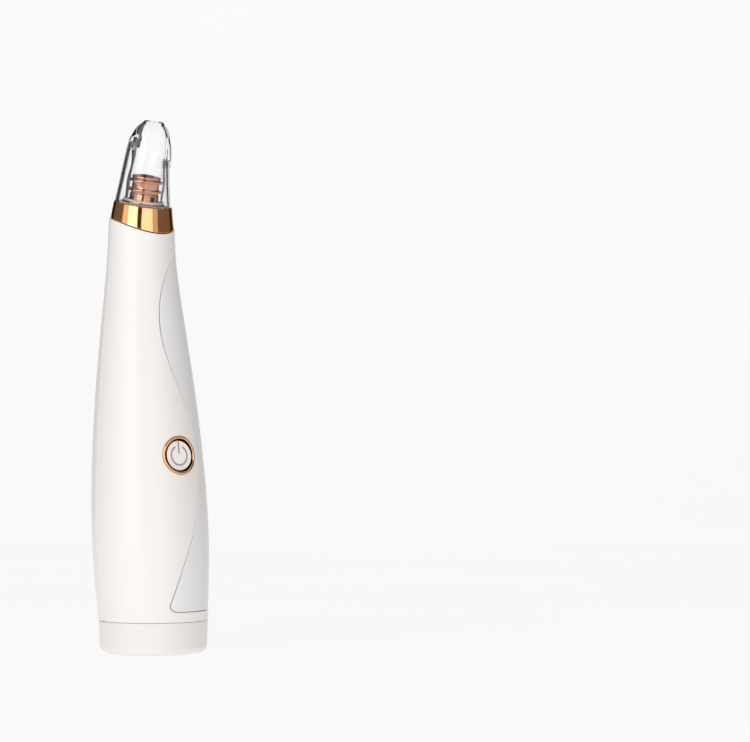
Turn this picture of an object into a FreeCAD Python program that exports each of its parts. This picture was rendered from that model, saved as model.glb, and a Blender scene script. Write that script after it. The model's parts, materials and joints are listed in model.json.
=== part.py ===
"""Blackhead vacuum extractor: a leaning, pen-shaped suction device with a clear push-on tip.

Millimetres. The origin is the centre of the foot's underside, +Z is up, the power button faces -Y,
and the head leans forward over the button. Everything on the head is drawn in the head's own frame,
whose +Z is the leaning axis and whose origin is the centre of the collar's upper edge.
"""
import FreeCAD
import Part
import Sketcher
import math
import os
from types import SimpleNamespace

DOC = FreeCAD.newDocument("BlackheadExtractor")
PIECES = []

# ---------------------------------------------------------------- driving dimensions

DRIVING = {
    # barrel
    "wall": 2.2, "seam": 0.1,
    "foot_rise": 11.0, "foot_radius": 18.0, "foot_top_radius": 18.4, "foot_round": 2.8,
    "foot_floor": 2.0, "foot_bore": 14.8, "spigot_radius": 16.1, "spigot_rise": 13.4,
    "parting_low": 2.6, "parting_high": 11.1, "parting_foot": -5.0, "parting_top": 165.0,
    "rib_low": 73.0, "rib_step": 6.0, "rib_thick": 1.6, "rib_front": 7.2,
    # head
    "head_lean": 13.0, "head_forward": 6.5, "head_rise": 152.15, "tip_turn": 52.0,
    "collar_radius": 9.9, "collar_bore": 8.45,
    "neck_arc": 57.0, "neck_forward": 23.1, "neck_rise": 91.35,
    # clear tip, along the leaning axis
    "tip_wall": 1.15, "tube_foot": 1.6, "tube_outer": 6.75,
    "shoulder_arc": 18.8, "shoulder_forward": 8.0, "shoulder_rise": 32.15, "shoulder_wall": 1.5,
    "mouth_radius": 3.05, "mouth_depth": 1.5, "tip_length": 28.35,
    # nozzle
    "nozzle_top": 9.5, "nozzle_radius": 4.9, "neck_radius": 4.6, "rib_radius": 5.75, "rib_rise": 0.95,
    "lower_rib": 4.35, "upper_rib": 7.5, "flange_radius": 7.1, "flange_rise": 0.9, "deck_top": 0.3,
    "neck_low": 3.8, "neck_high": 8.7, "nozzle_bore": 2.4, "stem_radius": 3.8, "stem_depth": 4.0,
    "window_width": 1.7, "window_low": 1.5, "window_high": 3.2, "sponge_low": 3.3,
    "holder_step": 1.2, "holder_deck": 1.5, "holder_low": 5.6, "barb_end": 13.0,
    # button
    "button_rise": 66.8, "button_tilt": 7.7, "button_face": -15.3, "bezel_radius": 6.45,
    "bezel_bore": 5.6, "bezel_proud": 0.35, "cap_radius": 5.1, "cap_drop": 0.8, "cap_depth": 4.3,
    "cap_lip": 0.55, "cap_stem": 1.2, "stem_reach": 1.12,
    "icon_radius": 3.2, "icon_line": 0.62, "icon_gap": 30.0, "icon_bar_low": 0.55, "icon_bar_high": 4.85,
    "icon_proud": 0.03, "icon_depth": 0.28,
    # side panel
    "panel_azimuth": 40.0, "panel_sunk": 0.15, "panel_depth": 0.95, "recess_depth": 1.0,
    "panel_gap": 0.12, "panel_foot": 14.4, "panel_corner": 1.9, "panel_right": 26.0,
    "panel_outer_reach": 30.0, "panel_inner_reach": 3.0,
    # board, cell and chassis
    "board_front": -5.6, "board_rear": -4.4, "board_half": 9.0, "board_low": 2.3, "board_high": 80.0,
    "cell_radius": 7.0, "cell_back": 6.0, "cell_low": 13.0, "cell_high": 62.0,
    "chassis_half": 12.0, "chassis_front": -3.6, "chassis_rear": 1.5, "chassis_low": 12.0,
    "chassis_high": 60.0, "post_across": 9.6, "post_back": -1.0, "post_radius": 2.4, "post_length": 10.5,
    "boss_across": 7.0, "boss_low": 18.0, "boss_high": 56.0, "boss_radius": 1.9, "boss_length": 1.2,
    "mouth_half": 4.2, "mouth_thick": 3.5, "sink_radius": 2.0, "sink_depth": 1.1, "vent_radius": 0.8,
    "vent_circle": 8.5, "switch_half": 3.0, "switch_thick": 3.1, "plunger_radius": 1.72,
    "socket_half": 3.75, "socket_thick": 2.6, "socket_low": 0.6, "socket_high": 6.2,
    # motor and pump share one upright axis
    "drive_back": 6.3, "motor_radius": 9.0, "motor_low": 69.0, "motor_high": 89.0, "shaft_radius": 1.0,
    "running_gap": 0.03, "pump_radius": 10.5, "pump_bore": 7.5, "frame_high": 99.0,
    "frame_floor": 1.4, "frame_way": 3.1, "screw_way": 0.75, "cam_radius": 3.0,
    "cam_low": 91.0, "cam_high": 93.6, "shaft_high": 93.5, "wobble_low": 94.2, "arm_low": 95.6,
    "wobble_high": 96.6, "cushion_low": 72.0, "cushion_high": 82.0, "cushion_wall": 1.3,
    "cup_circle": 4.6, "cup_radius": 2.4, "crank_offset": 1.0, "crank_radius": 0.7,
    "valve_high": 102.5, "cover_high": 106.0, "screw_circle": 9.0,
    "barb_radius": 2.2, "barb_bore": 1.2, "barb_rise": 7.0, "suction_back": 9.5, "exhaust_back": 2.8,
    "hose_bore": 2.25, "hose_radius": 3.1, "lead_radius": 0.5,
}

# centre rings of the barrel, from the foot up: height, radius, and how far back the centre stands
BARREL_RINGS = [
    (0.0, 18.0, 0.0), (10.7, 18.45, 0.2), (24.0, 19.3, 0.95), (40.0, 19.8, 1.85), (66.0, 18.85, 3.45),
    (91.0, 16.65, 5.05), (115.0, 13.8, 6.5), (134.0, 11.75, 7.25), (150.0, 10.98, 7.35),
]

# collar below its upper edge: radius, how far back the centre stands, rise, lean
COLLAR_RINGS = [(11.1, 7.35, 142.45, 5), (10.5, 7.05, 147.85, 10)]

# clear tip along its own axis: radius, how far the centre stands towards its high side, rise
SKIRT_RINGS = [(9.6, 0.1, 0), (8.55, 0.42, 7.7), (7.85, 0.62, 13.7), (7.15, 0.72, 19.5), (6.6, 0.75, 23)]
BULB_RINGS = [
    (7.6, 0.35, 11), (7.85, 0.35, 15.5), (7.6, 0.35, 18.5), (7.05, 0.4, 21.6), (6.27, 0.3, 23.8),
    (4.95, 0.1, 26.4), (3.6, 0, 27.9), (3.3, 0, 28.35),
]
CHAMBER_RINGS = [
    (5.85, 0, -5), (5.88, 0, 3), (5.85, 0, 9.5), (5.6, 0, 18), (5.0, 0, 22.5), (4.0, 0, 25.6),
    (3.05, 0, 26.9),
]

# chips on the board: left and low corner, right and high corner, thickness
CHIPS = [
    ((-3.5, 24), (3.5, 31), 1.4), ((-5.5, 38), (-2.5, 41.5), 1.1), ((2, 36), (5, 42), 1.2),
    ((-2.5, 47), (2.5, 50), 1.0), ((-6, 76), (-2, 78.5), 1.0),
]

# front edge of the side panel, from top to bottom: across and up, seen square to the panel
PANEL_EDGE = [
    (16.0, 138.5), (7.5, 137.2), (0.0, 131.5), (-6.3, 117.0), (-7.9, 102.4), (-5.6, 86.0),
    (-2.4, 66.0), (-6.0, 47.5), (-12.6, 29.0), (-15.7, 16.8),
]


class Size:
    """A size as its number now and as the sheet expression that keeps it bound."""

    def __init__(self, number, text):
        self.number = number
        self.text = text

    def __add__(self, other):
        other = sized(other)
        return Size(self.number + other.number, f"({self.text} + {other.text})")

    def __sub__(self, other):
        other = sized(other)
        return Size(self.number - other.number, f"({self.text} - {other.text})")

    def __mul__(self, other):
        other = sized(other)
        return Size(self.number * other.number, f"({self.text} * {other.text})")

    def __radd__(self, other):
        return sized(other) + self

    def __rsub__(self, other):
        return sized(other) - self

    def __rmul__(self, other):
        return sized(other) * self

    def __neg__(self):
        return sized(0) - self


def sized(value):
    return value if isinstance(value, Size) else Size(float(value), f"({float(value)})")


def sine(angle):
    return Size(math.sin(math.radians(angle.number)), f"sin({angle.text})")


def cosine(angle):
    return Size(math.cos(math.radians(angle.number)), f"cos({angle.text})")


def fill_sheet():
    """Write the driving dimensions to the sheet and return them as bound sizes."""
    sheet = DOC.addObject("Spreadsheet::Sheet", "Dims")
    cells = dict(DRIVING)
    for number, (rise, radius, back) in enumerate(BARREL_RINGS):
        cells[f"ring_rise_{number}"] = rise
        cells[f"ring_radius_{number}"] = radius
        cells[f"ring_back_{number}"] = back
    for number, (across, up) in enumerate(PANEL_EDGE):
        cells[f"edge_across_{number}"] = across
        cells[f"edge_up_{number}"] = up
    for row, (alias, value) in enumerate(cells.items(), 1):
        sheet.set(f"A{row}", alias)
        sheet.set(f"B{row}", str(value))
        sheet.setAlias(f"B{row}", alias)
    DOC.recompute()
    return SimpleNamespace(**{alias: Size(value, f"Dims.{alias}") for alias, value in cells.items()})


D = fill_sheet()
ORIGIN = (0, 0, 0)
HEAD = (0, D.head_forward, D.head_rise)
DRIVE = (0, D.drive_back, 0)

# ---------------------------------------------------------------- building blocks


def bind(item, **sizes):
    for name, value in sizes.items():
        item.setExpression(name, sized(value).text)


def place(item, at=ORIGIN, axis=(1, 0, 0), turn=0):
    """Put an object at a point, turned by an angle about an axis."""
    item.Placement = FreeCAD.Placement(FreeCAD.Vector(*[sized(value).number for value in at]),
                                       FreeCAD.Rotation(FreeCAD.Vector(*axis), sized(turn).number or 1e-9))
    for letter, value in zip("xyz", at):
        item.setExpression(f"Placement.Base.{letter}", sized(value).text)
    if isinstance(turn, Size):
        item.setExpression("Placement.Rotation.Angle", turn.text)
    return item


def on_head(item):
    return place(item, HEAD, turn=D.head_lean)


def piece(item, label):
    """Name a finished sub-part."""
    item.Label = label
    PIECES.append(item)
    return item


def cylinder(name, radius, height, at=ORIGIN, axis=(1, 0, 0), turn=0):
    item = DOC.addObject("Part::Cylinder", name)
    bind(item, Radius=radius, Height=height)
    return place(item, at, axis, turn)


def box(name, low, high):
    item = DOC.addObject("Part::Box", name)
    length, width, height = [sized(top) - bottom for bottom, top in zip(low, high)]
    bind(item, Length=length, Width=width, Height=height)
    return place(item, low)


def cut(name, base, *tools):
    for number, tool in enumerate(tools):
        item = DOC.addObject("Part::Cut", f"{name}_cut{number}")
        item.Base = base
        item.Tool = tool
        base = item
    return base


def common(name, base, tool):
    item = DOC.addObject("Part::Common", name)
    item.Base = base
    item.Tool = tool
    return item


def fuse(name, *shapes):
    item = DOC.addObject("Part::MultiFuse", name)
    item.Shapes = list(shapes)
    item.Refine = True
    return item


def group(name, *shapes):
    item = DOC.addObject("Part::Compound", name)
    item.Links = list(shapes)
    return item


def loft(name, rings):
    """Solid through circles, each given as radius, centre back, centre rise and lean.

    Level circles start at the back, which keeps the surface's seam away from the panel and button.
    """
    circles = []
    for number, (radius, back, rise, lean) in enumerate(rings):
        circle = DOC.addObject("Part::Circle", f"{name}_ring{number}")
        bind(circle, Radius=radius)
        if lean:
            circles.append(place(circle, (0, back, rise), turn=lean))
        else:
            circles.append(place(circle, (0, back, rise), (0, 0, 1), 90))
    item = DOC.addObject("Part::Loft", name)
    item.Sections = circles
    item.Solid = True
    return item


def add_outline(sketch, outline):
    """Closed straight-sided outline whose corners are tied to the sketch's axes."""
    corners = [(sized(across), sized(up)) for across, up in outline]
    count = len(corners)
    for number, (across, up) in enumerate(corners):
        next_across, next_up = corners[(number + 1) % count]
        sketch.addGeometry(Part.LineSegment(FreeCAD.Vector(across.number, up.number, 0),
                                            FreeCAD.Vector(next_across.number, next_up.number, 0)))
    for number in range(count):
        sketch.addConstraint(Sketcher.Constraint("Coincident", number, 2, (number + 1) % count, 1))
    for number, corner in enumerate(corners):
        for kind, size, axis in (("DistanceX", corner[0], -2), ("DistanceY", corner[1], -1)):
            if size.number == 0:
                sketch.addConstraint(Sketcher.Constraint("PointOnObject", number, 1, axis))
                continue
            index = sketch.addConstraint(Sketcher.Constraint(kind, -1, 1, number, 1, size.number))
            sketch.setExpression(f"Constraints[{index}]", size.text)


def revolved(name, outline, at=ORIGIN, lean=0, turn=360):
    """PartDesign body: an outline of (radius, rise) corners turned about the body's own Z axis."""
    body = DOC.addObject("PartDesign::Body", name)
    sketch = body.newObject("Sketcher::SketchObject", f"{name}_outline")
    plane = [item for item in body.Origin.OriginFeatures if item.Role == "XZ_Plane"][0]
    sketch.AttachmentSupport = (plane, [""])
    sketch.MapMode = "FlatFace"
    add_outline(sketch, outline)
    turned = body.newObject("PartDesign::Revolution", f"{name}_turned")
    turned.Profile = sketch
    turned.ReferenceAxis = (sketch, ["V_Axis"])
    turned.Angle = turn
    turned.Midplane = turn < 360
    return place(body, at, turn=lean)


def polar(name, template, count, at):
    """Copies of an object, evenly round an upright axis."""
    return [place(linked(f"{name}_{number}", template), at, (0, 0, 1), 360 * number / count)
            for number in range(count)]


def linked(name, template):
    """A compound holding one object, so that it can be placed again."""
    return group(name, template)


def side_prism(name, outline, half):
    """An outline of (back, up) corners carried sideways to both sides of the middle plane."""
    sketch = DOC.addObject("Sketcher::SketchObject", f"{name}_outline")
    sketch.Placement = FreeCAD.Placement(FreeCAD.Vector(), FreeCAD.Rotation(FreeCAD.Vector(1, 1, 1), 120))
    add_outline(sketch, outline)
    item = DOC.addObject("Part::Extrusion", name)
    item.Base = sketch
    item.DirMode = "Normal"
    item.Symmetric = True
    item.Solid = True
    item.LengthFwd = 2 * half
    return item


def route(name, across, points):
    """Sketch of straight runs joined by tangent arcs, in an upright plane beside the middle plane."""
    sketch = DOC.addObject("Sketcher::SketchObject", f"{name}_route")
    sketch.Placement = FreeCAD.Placement(FreeCAD.Vector(across, 0, 0),
                                         FreeCAD.Rotation(FreeCAD.Vector(1, 1, 1), 120))
    knots = [FreeCAD.Vector(sized(back).number, sized(up).number, 0) for back, up in points]
    start = knots[0]
    for before, corner, after in zip(knots, knots[1:], knots[2:]):
        inward = (before - corner).normalize()
        outward = (after - corner).normalize()
        trim = 0.45 * min((corner - before).Length, (after - corner).Length)
        turn = math.pi - inward.getAngle(outward)
        radius = trim / math.tan(turn / 2)
        middle = (inward + outward).normalize()
        arc_start = corner + inward * trim
        arc_end = corner + outward * trim
        arc_middle = corner + middle * (radius / math.cos(turn / 2) - radius)
        sketch.addGeometry(Part.LineSegment(start, arc_start))
        sketch.addGeometry(Part.Arc(arc_start, arc_middle, arc_end))
        print(f"{name}: bend radius {radius:.1f} mm")
        start = arc_end
    sketch.addGeometry(Part.LineSegment(start, knots[-1]))
    return sketch


def tube(name, path, radius):
    """Round bar along a route that sets off straight up or straight down."""
    DOC.recompute()
    ring = DOC.addObject("Part::Circle", f"{name}_ring")
    bind(ring, Radius=radius)
    first = path.Placement.multVec(path.Geometry[0].StartPoint)
    ring.Placement.Base = first
    item = DOC.addObject("Part::Sweep", name)
    item.Sections = [ring]
    item.Spine = (path, [f"Edge{number + 1}" for number in range(len(path.Shape.Edges))])
    item.Solid = True
    DOC.recompute()
    section = math.pi * sized(radius).number ** 2
    length = sum(run.Length for run in path.Shape.Edges)
    print(f"{name}: volume {item.Shape.Volume:.1f}, section times length {section * length:.1f}")
    return item


def skin(name, sink):
    """The barrel's outer surface, moved inwards by a depth."""
    rings = [(getattr(D, f"ring_radius_{number}") - sink, getattr(D, f"ring_back_{number}"),
              getattr(D, f"ring_rise_{number}"), 0) for number in range(len(BARREL_RINGS))]
    return loft(name, rings)


# ---------------------------------------------------------------- barrel


def panel_prism(name, gap):
    """Block standing square to the side panel, with the panel's outline moved inwards by a gap."""
    edge = [FreeCAD.Vector(getattr(D, f"edge_across_{number}").number + gap,
                           getattr(D, f"edge_up_{number}").number, 0) for number in range(len(PANEL_EDGE))]
    foot = D.panel_foot.number + gap
    corner = D.panel_corner.number
    corner_end = FreeCAD.Vector(edge[-1].x + corner, foot, 0)
    corner_middle = FreeCAD.Vector(edge[-1].x + 0.3 * corner, foot + 0.4 * corner, 0)
    right = D.panel_right.number
    curve = Part.BSplineCurve()
    curve.interpolate(edge)
    sketch = DOC.addObject("Sketcher::SketchObject", f"{name}_outline")
    sketch.Placement = FreeCAD.Placement(FreeCAD.Vector(), FreeCAD.Rotation(FreeCAD.Vector(1, 0, 0), 90))
    sketch.addGeometry(curve)
    sketch.addGeometry(Part.Arc(edge[-1], corner_middle, corner_end))
    sketch.addGeometry(Part.LineSegment(corner_end, FreeCAD.Vector(right, foot, 0)))
    sketch.addGeometry(Part.LineSegment(FreeCAD.Vector(right, foot, 0), FreeCAD.Vector(right, edge[0].y, 0)))
    sketch.addGeometry(Part.LineSegment(FreeCAD.Vector(right, edge[0].y, 0), edge[0]))
    prism = DOC.addObject("Part::Extrusion", name)
    prism.Base = sketch
    prism.DirMode = "Normal"
    bind(prism, LengthFwd=D.panel_outer_reach, LengthRev=D.panel_inner_reach)
    prism.Solid = True
    return place(prism, axis=(0, 0, 1), turn=D.panel_azimuth)


def parting_prism(name, far, offset):
    """The space on one side of the front and rear shells' parting line, out to a far plane."""
    low = D.parting_low + offset
    high = D.parting_high + offset
    outline = [(low, D.parting_foot), (high, D.parting_top), (far, D.parting_top), (far, D.parting_foot)]
    return side_prism(name, outline, 30)


def make_barrel():
    outer = skin("barrel_outer", 0)
    inner = skin("barrel_inner", D.wall)
    neck = cylinder("neck_arc", D.neck_arc - D.seam, 60, (-30, D.neck_forward, D.neck_rise), (0, 1, 0), 90)
    above = cut("above_neck", box("above_neck_block", (-30, -30, 125), (30, 40, 170)), neck)
    below = box("below_foot_line", (-30, -30, -5), (30, 30, D.foot_rise + D.seam))
    shell = cut("barrel_shell", outer, inner, above, below)
    front = parting_prism("front_side", -40, -0.5 * D.seam)
    rear = parting_prism("rear_side", 45, 0.5 * D.seam)

    # the recess runs out past the parting line, so that the panel's back edge lies along it
    recess_block = common("recess_block", panel_prism("recess_prism", 0), parting_prism("front_wide", -40, 1))
    recess = cut("recess", recess_block, skin("recess_floor", D.recess_depth))
    button_hole = on_button(cylinder("button_hole", D.bezel_radius + 0.04, 20), -10)
    front_shell = common("front_shell", cut("recessed_shell", shell, button_hole, recess), front)
    piece(front_shell, "front_shell")

    panel_skin = cut("panel_skin", skin("panel_outer", D.panel_sunk), skin("panel_inner", D.panel_depth))
    panel_block = common("panel_block", panel_prism("panel_prism", D.panel_gap.number), front)
    piece(common("side_panel", panel_skin, panel_block), "side_panel")

    # ribs inside the back of the barrel cradle the motor's rubber sleeve
    rib_edge = skin("rib_edge", D.wall - 0.3)
    motor_space = cylinder("rib_bore", D.motor_radius + 1.45, 30, (0, D.drive_back, 65))
    ribs = []
    for number in range(2):
        rise = D.rib_low + D.rib_step * number
        slab = box(f"rib_slab_{number}", (-20, D.rib_front, rise), (20, 40, rise + D.rib_thick))
        ribs.append(cut(f"cradle_rib_{number}", common(f"rib_{number}", rib_edge, slab), motor_space))
    piece(fuse("rear_shell", common("rear_wall", shell, rear), *ribs), "rear_shell")


def make_foot():
    outer = loft("foot_outer", [(D.foot_radius, 0, 0, 0), (D.foot_top_radius, 0.2, D.foot_rise, 0)])
    DOC.recompute()
    rounded = DOC.addObject("Part::Fillet", "foot_rounded")
    rounded.Base = outer
    low_edge = [number for number, edge in enumerate(outer.Shape.Edges, 1) if edge.BoundBox.ZMax < 0.01][0]
    rounded.Edges = [(low_edge, D.foot_round.number, D.foot_round.number)]
    spigot = cylinder("spigot", D.spigot_radius, D.spigot_rise - D.foot_floor, (0, 0.2, D.foot_floor))
    bore = cylinder("foot_bore", D.foot_bore, D.spigot_rise, (0, 0.2, D.foot_floor))
    middle = (D.board_front - D.socket_thick * 0.5)
    mouth = box("usb_mouth", (-D.mouth_half, middle - D.mouth_thick * 0.5, -1),
                (D.mouth_half, middle + D.mouth_thick * 0.5, 3))
    screw_holes = []
    for side in (-1, 1):
        at = (D.post_across * side, D.post_back, -1)
        screw_holes.append(cylinder(f"screw_sink_{side + 1}", D.sink_radius, D.sink_depth + 1, at))
        screw_holes.append(cylinder(f"screw_hole_{side + 1}", 1.05, 5, at))
    vent = cylinder("vent", D.vent_radius, 4, (0, D.vent_circle, -1))
    vents = [place(linked(f"vent_{turn}", vent), axis=(0, 0, 1), turn=turn) for turn in (-36, -18, 0, 18, 36)]
    cap = cut("base_cap", fuse("foot_solid", rounded, spigot), bore, mouth, *screw_holes, *vents)
    piece(cap, "base_cap")
    screws = [revolved(f"base_screw_{side + 1}",
                       [(0, 0.45), (0.6, 0.45), (0.6, 0.15), (1.9, 0.15), (1.9, 1.05), (0.95, 1.05),
                        (0.95, 9), (0, 10)], (D.post_across * side, D.post_back, 0)) for side in (-1, 1)]
    piece(group("base_screws", *screws), "base_screws")


def make_collar():
    upper_edge = (D.collar_radius, D.head_forward, D.head_rise, D.head_lean)
    outer = loft("collar_outer", COLLAR_RINGS + [upper_edge])
    bore = on_head(linked("collar_bore_placed", cylinder("collar_bore", D.collar_bore, 20, (0, 0, -14))))
    neck = cylinder("collar_neck", D.neck_arc, 60, (-30, D.neck_forward, D.neck_rise), (0, 1, 0), 90)
    piece(cut("collar_ring", outer, bore, neck), "collar_ring")


# ---------------------------------------------------------------- button


def on_button(item, out):
    """Stand an object on the button's own outward axis, starting a distance out from the face."""
    out = sized(out)
    at = (0, D.button_face - out * cosine(D.button_tilt), D.button_rise + out * sine(D.button_tilt))
    return place(item, at, turn=sized(90) - D.button_tilt)


def make_button():
    hole = on_button(cylinder("bezel_bore", D.bezel_bore, 20), -10)
    rod = on_button(cylinder("bezel_rod", D.bezel_radius, 12), -7)
    sleeve = cut("bezel_sleeve", common("bezel_outer", rod, skin("bezel_top", -D.bezel_proud)), hole,
                 skin("bezel_end", D.wall + 0.3))
    piece(sleeve, "button_bezel")

    crown = on_button(cylinder("cap_crown", D.cap_radius, D.cap_depth - D.cap_drop), -D.cap_depth)
    lip = on_button(cylinder("cap_lip", D.bezel_bore + 0.6, D.cap_lip), -D.cap_depth)
    stem = on_button(cylinder("cap_stem", D.cap_stem, D.stem_reach + 0.2), -D.cap_depth - D.stem_reach)

    ring = cut("icon_ring", cylinder("icon_disc", D.icon_radius + D.icon_line * 0.5, D.icon_depth),
               cylinder("icon_hole", D.icon_radius - D.icon_line * 0.5, 4))
    opening = gap_block("icon_opening")
    bar = box("icon_bar", (D.icon_line * -0.5, D.icon_bar_low, 0),
              (D.icon_line * 0.5, D.icon_bar_high, D.icon_depth))
    mark = group("icon_mark", cut("icon_broken_ring", ring, opening), bar)
    inlay = on_button(mark, D.icon_proud - D.icon_depth - D.cap_drop)
    piece(inlay, "button_icon")
    cap = fuse("cap_solid", cut("cap_marked", crown, inlay), lip, stem)
    piece(cap, "power_button")


def gap_block(name):
    """Upright three-cornered block that opens the icon's ring at the top."""
    far = 5
    reach = far * sine(D.icon_gap) * (1 / cosine(D.icon_gap).number)
    sketch = DOC.addObject("Sketcher::SketchObject", f"{name}_outline")
    add_outline(sketch, [(0, 0), (reach, far), (-reach, far)])
    item = DOC.addObject("Part::Extrusion", name)
    item.Base = sketch
    item.DirMode = "Normal"
    item.Solid = True
    item.LengthFwd = 4
    return item


# ---------------------------------------------------------------- head


def shoulder_arc(name, thin):
    """Everything above the tip's arched shoulder line, as a bar lying across the tip."""
    axis_end = (-20, -D.shoulder_forward, D.shoulder_rise)
    return cylinder(name, D.shoulder_arc + thin, 40, axis_end, (0, 1, 0), 90)


def tip_loft(name, rings, thin=0):
    return loft(name, [(sized(radius) - thin, back, rise, 0) for radius, back, rise in rings])


def make_tip():
    lower = cut("tip_lower", tip_loft("tip_skirt", SKIRT_RINGS), shoulder_arc("above_shoulder", 0))
    upper = common("tip_upper", tip_loft("tip_bulb", BULB_RINGS), shoulder_arc("bulb_foot", 0))
    tube_solid = cylinder("tip_tube", D.tube_outer, 30, (0, 0, -5))
    hollow = tip_loft("tip_hollow", SKIRT_RINGS, D.tip_wall)
    skirt_space = cut("tip_space", hollow, shoulder_arc("above_hollow", D.shoulder_wall), tube_solid)
    mouth = cylinder("tip_mouth", D.mouth_radius, 5, (0, 0, D.tip_length - D.mouth_depth))
    trim = cylinder("tube_trim", D.tube_outer + 0.01, 5 + D.tube_foot, (0, 0, -5))
    tip = cut("suction_tip", fuse("tip_outside", lower, upper), skirt_space,
              tip_loft("tip_chamber", CHAMBER_RINGS), mouth, trim)
    turned = place(linked("tip_turned", tip), axis=(0, 0, 1), turn=D.tip_turn)
    piece(on_head(linked("suction_tip_placed", turned)), "suction_tip")


def make_nozzle():
    ribs = []
    for low in (D.lower_rib, D.upper_rib):
        ribs += [(D.neck_radius, low), (D.rib_radius, low), (D.rib_radius, low + D.rib_rise),
                 (D.neck_radius, low + D.rib_rise)]
    outline = [(D.nozzle_bore, -D.stem_depth), (D.stem_radius, -D.stem_depth), (D.stem_radius, D.deck_top),
               (D.flange_radius, D.deck_top), (D.flange_radius, D.flange_rise),
               (D.nozzle_radius, D.flange_rise), (D.nozzle_radius, D.neck_low - 0.2),
               (D.neck_radius, D.neck_low)]
    outline += ribs
    outline += [(D.neck_radius, D.neck_high), (D.nozzle_radius, D.neck_high + 0.15),
                (D.nozzle_radius, D.nozzle_top - 0.25),
                (D.nozzle_radius - 0.25, D.nozzle_top), (D.nozzle_bore, D.nozzle_top)]
    turned = revolved("nozzle_turned_body", outline)
    half = D.window_width * 0.5
    windows = [box("window_across", (-8, -half, D.window_low), (8, half, D.window_high)),
               box("window_along", (-half, -8, D.window_low), (half, 8, D.window_high))]
    piece(on_head(cut("suction_nozzle", turned, *windows)), "suction_nozzle")

    side = D.nozzle_bore - 0.05
    sponge = [(0, D.sponge_low), (side, D.sponge_low), (side, D.nozzle_top + 0.1),
              (side - 0.3, D.nozzle_top + 0.35), (0, D.nozzle_top + 0.45)]
    piece(revolved("filter_sponge", sponge, HEAD, D.head_lean), "filter_sponge")
    seal = [(D.nozzle_radius + 0.3, D.flange_rise), (D.flange_radius - 0.1, D.flange_rise),
            (D.flange_radius - 0.1, D.tube_foot - 0.05), (D.nozzle_radius + 0.3, D.tube_foot - 0.05)]
    piece(revolved("tip_seal", seal, HEAD, D.head_lean), "tip_seal")
    socket, step, deck = D.stem_radius + 0.05, D.stem_radius + D.holder_step, D.collar_bore - 0.25
    holder = [(socket, D.deck_top), (socket, -D.stem_depth - 0.1), (D.barb_bore, -D.stem_depth - 0.1),
              (D.barb_bore, -D.barb_end), (D.barb_radius - 0.3, -D.barb_end),
              (D.barb_radius, 1.5 - D.barb_end), (D.barb_radius, -D.holder_low), (step, -D.holder_low),
              (step, -D.holder_deck),
              (deck, -D.holder_deck), (deck, D.deck_top)]
    piece(revolved("nozzle_holder", holder, HEAD, D.head_lean), "nozzle_holder")


# ---------------------------------------------------------------- board, cell and chassis


def make_chassis():
    block = box("chassis_block", (-D.chassis_half, D.chassis_front, D.chassis_low),
                (D.chassis_half, D.chassis_rear, D.chassis_high))
    posts = []
    holes = [cylinder("cell_space", D.cell_radius + 0.15, 60, (0, D.cell_back, D.cell_low - 1.5))]
    screws = []
    for side in (-1, 1):
        at = (D.post_across * side, D.post_back, D.foot_floor + 0.1)
        posts.append(cylinder(f"post_{side + 1}", D.post_radius, D.post_length, at))
        holes.append(cylinder(f"post_hole_{side + 1}", 1.0, D.post_length - 1.5, at))
        for level, rise in (("low", D.boss_low), ("high", D.boss_high)):
            at = (D.boss_across * side, D.board_rear, rise)
            posts.append(cylinder(f"boss_{side + 1}_{level}", D.boss_radius, D.boss_length, at, turn=-90))
            holes.append(cylinder(f"boss_hole_{side + 1}_{level}", 0.8, D.boss_length + 3.3, at, turn=-90))
            screws.append(revolved(f"board_screw_{side + 1}_{level}",
                                   [(0, -0.9), (1.5, -0.9), (1.5, 0), (0.75, 0), (0.75, 4.8), (0, 5.2)],
                                   (D.boss_across * side, D.board_front, rise), -90))
    piece(cut("chassis", fuse("chassis_solid", block, *posts), *holes), "chassis")
    piece(group("board_screws", *screws), "board_screws")
    crown = D.cell_high - 0.7
    cell = [(0, D.cell_low), (D.cell_radius - 0.4, D.cell_low), (D.cell_radius, D.cell_low + 0.5),
            (D.cell_radius, crown - 0.6), (D.cell_radius - 0.6, crown), (2.6, crown),
            (2.6, D.cell_high), (0, D.cell_high)]
    piece(revolved("battery_cell", cell, (0, D.cell_back, 0)), "battery_cell")


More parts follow.
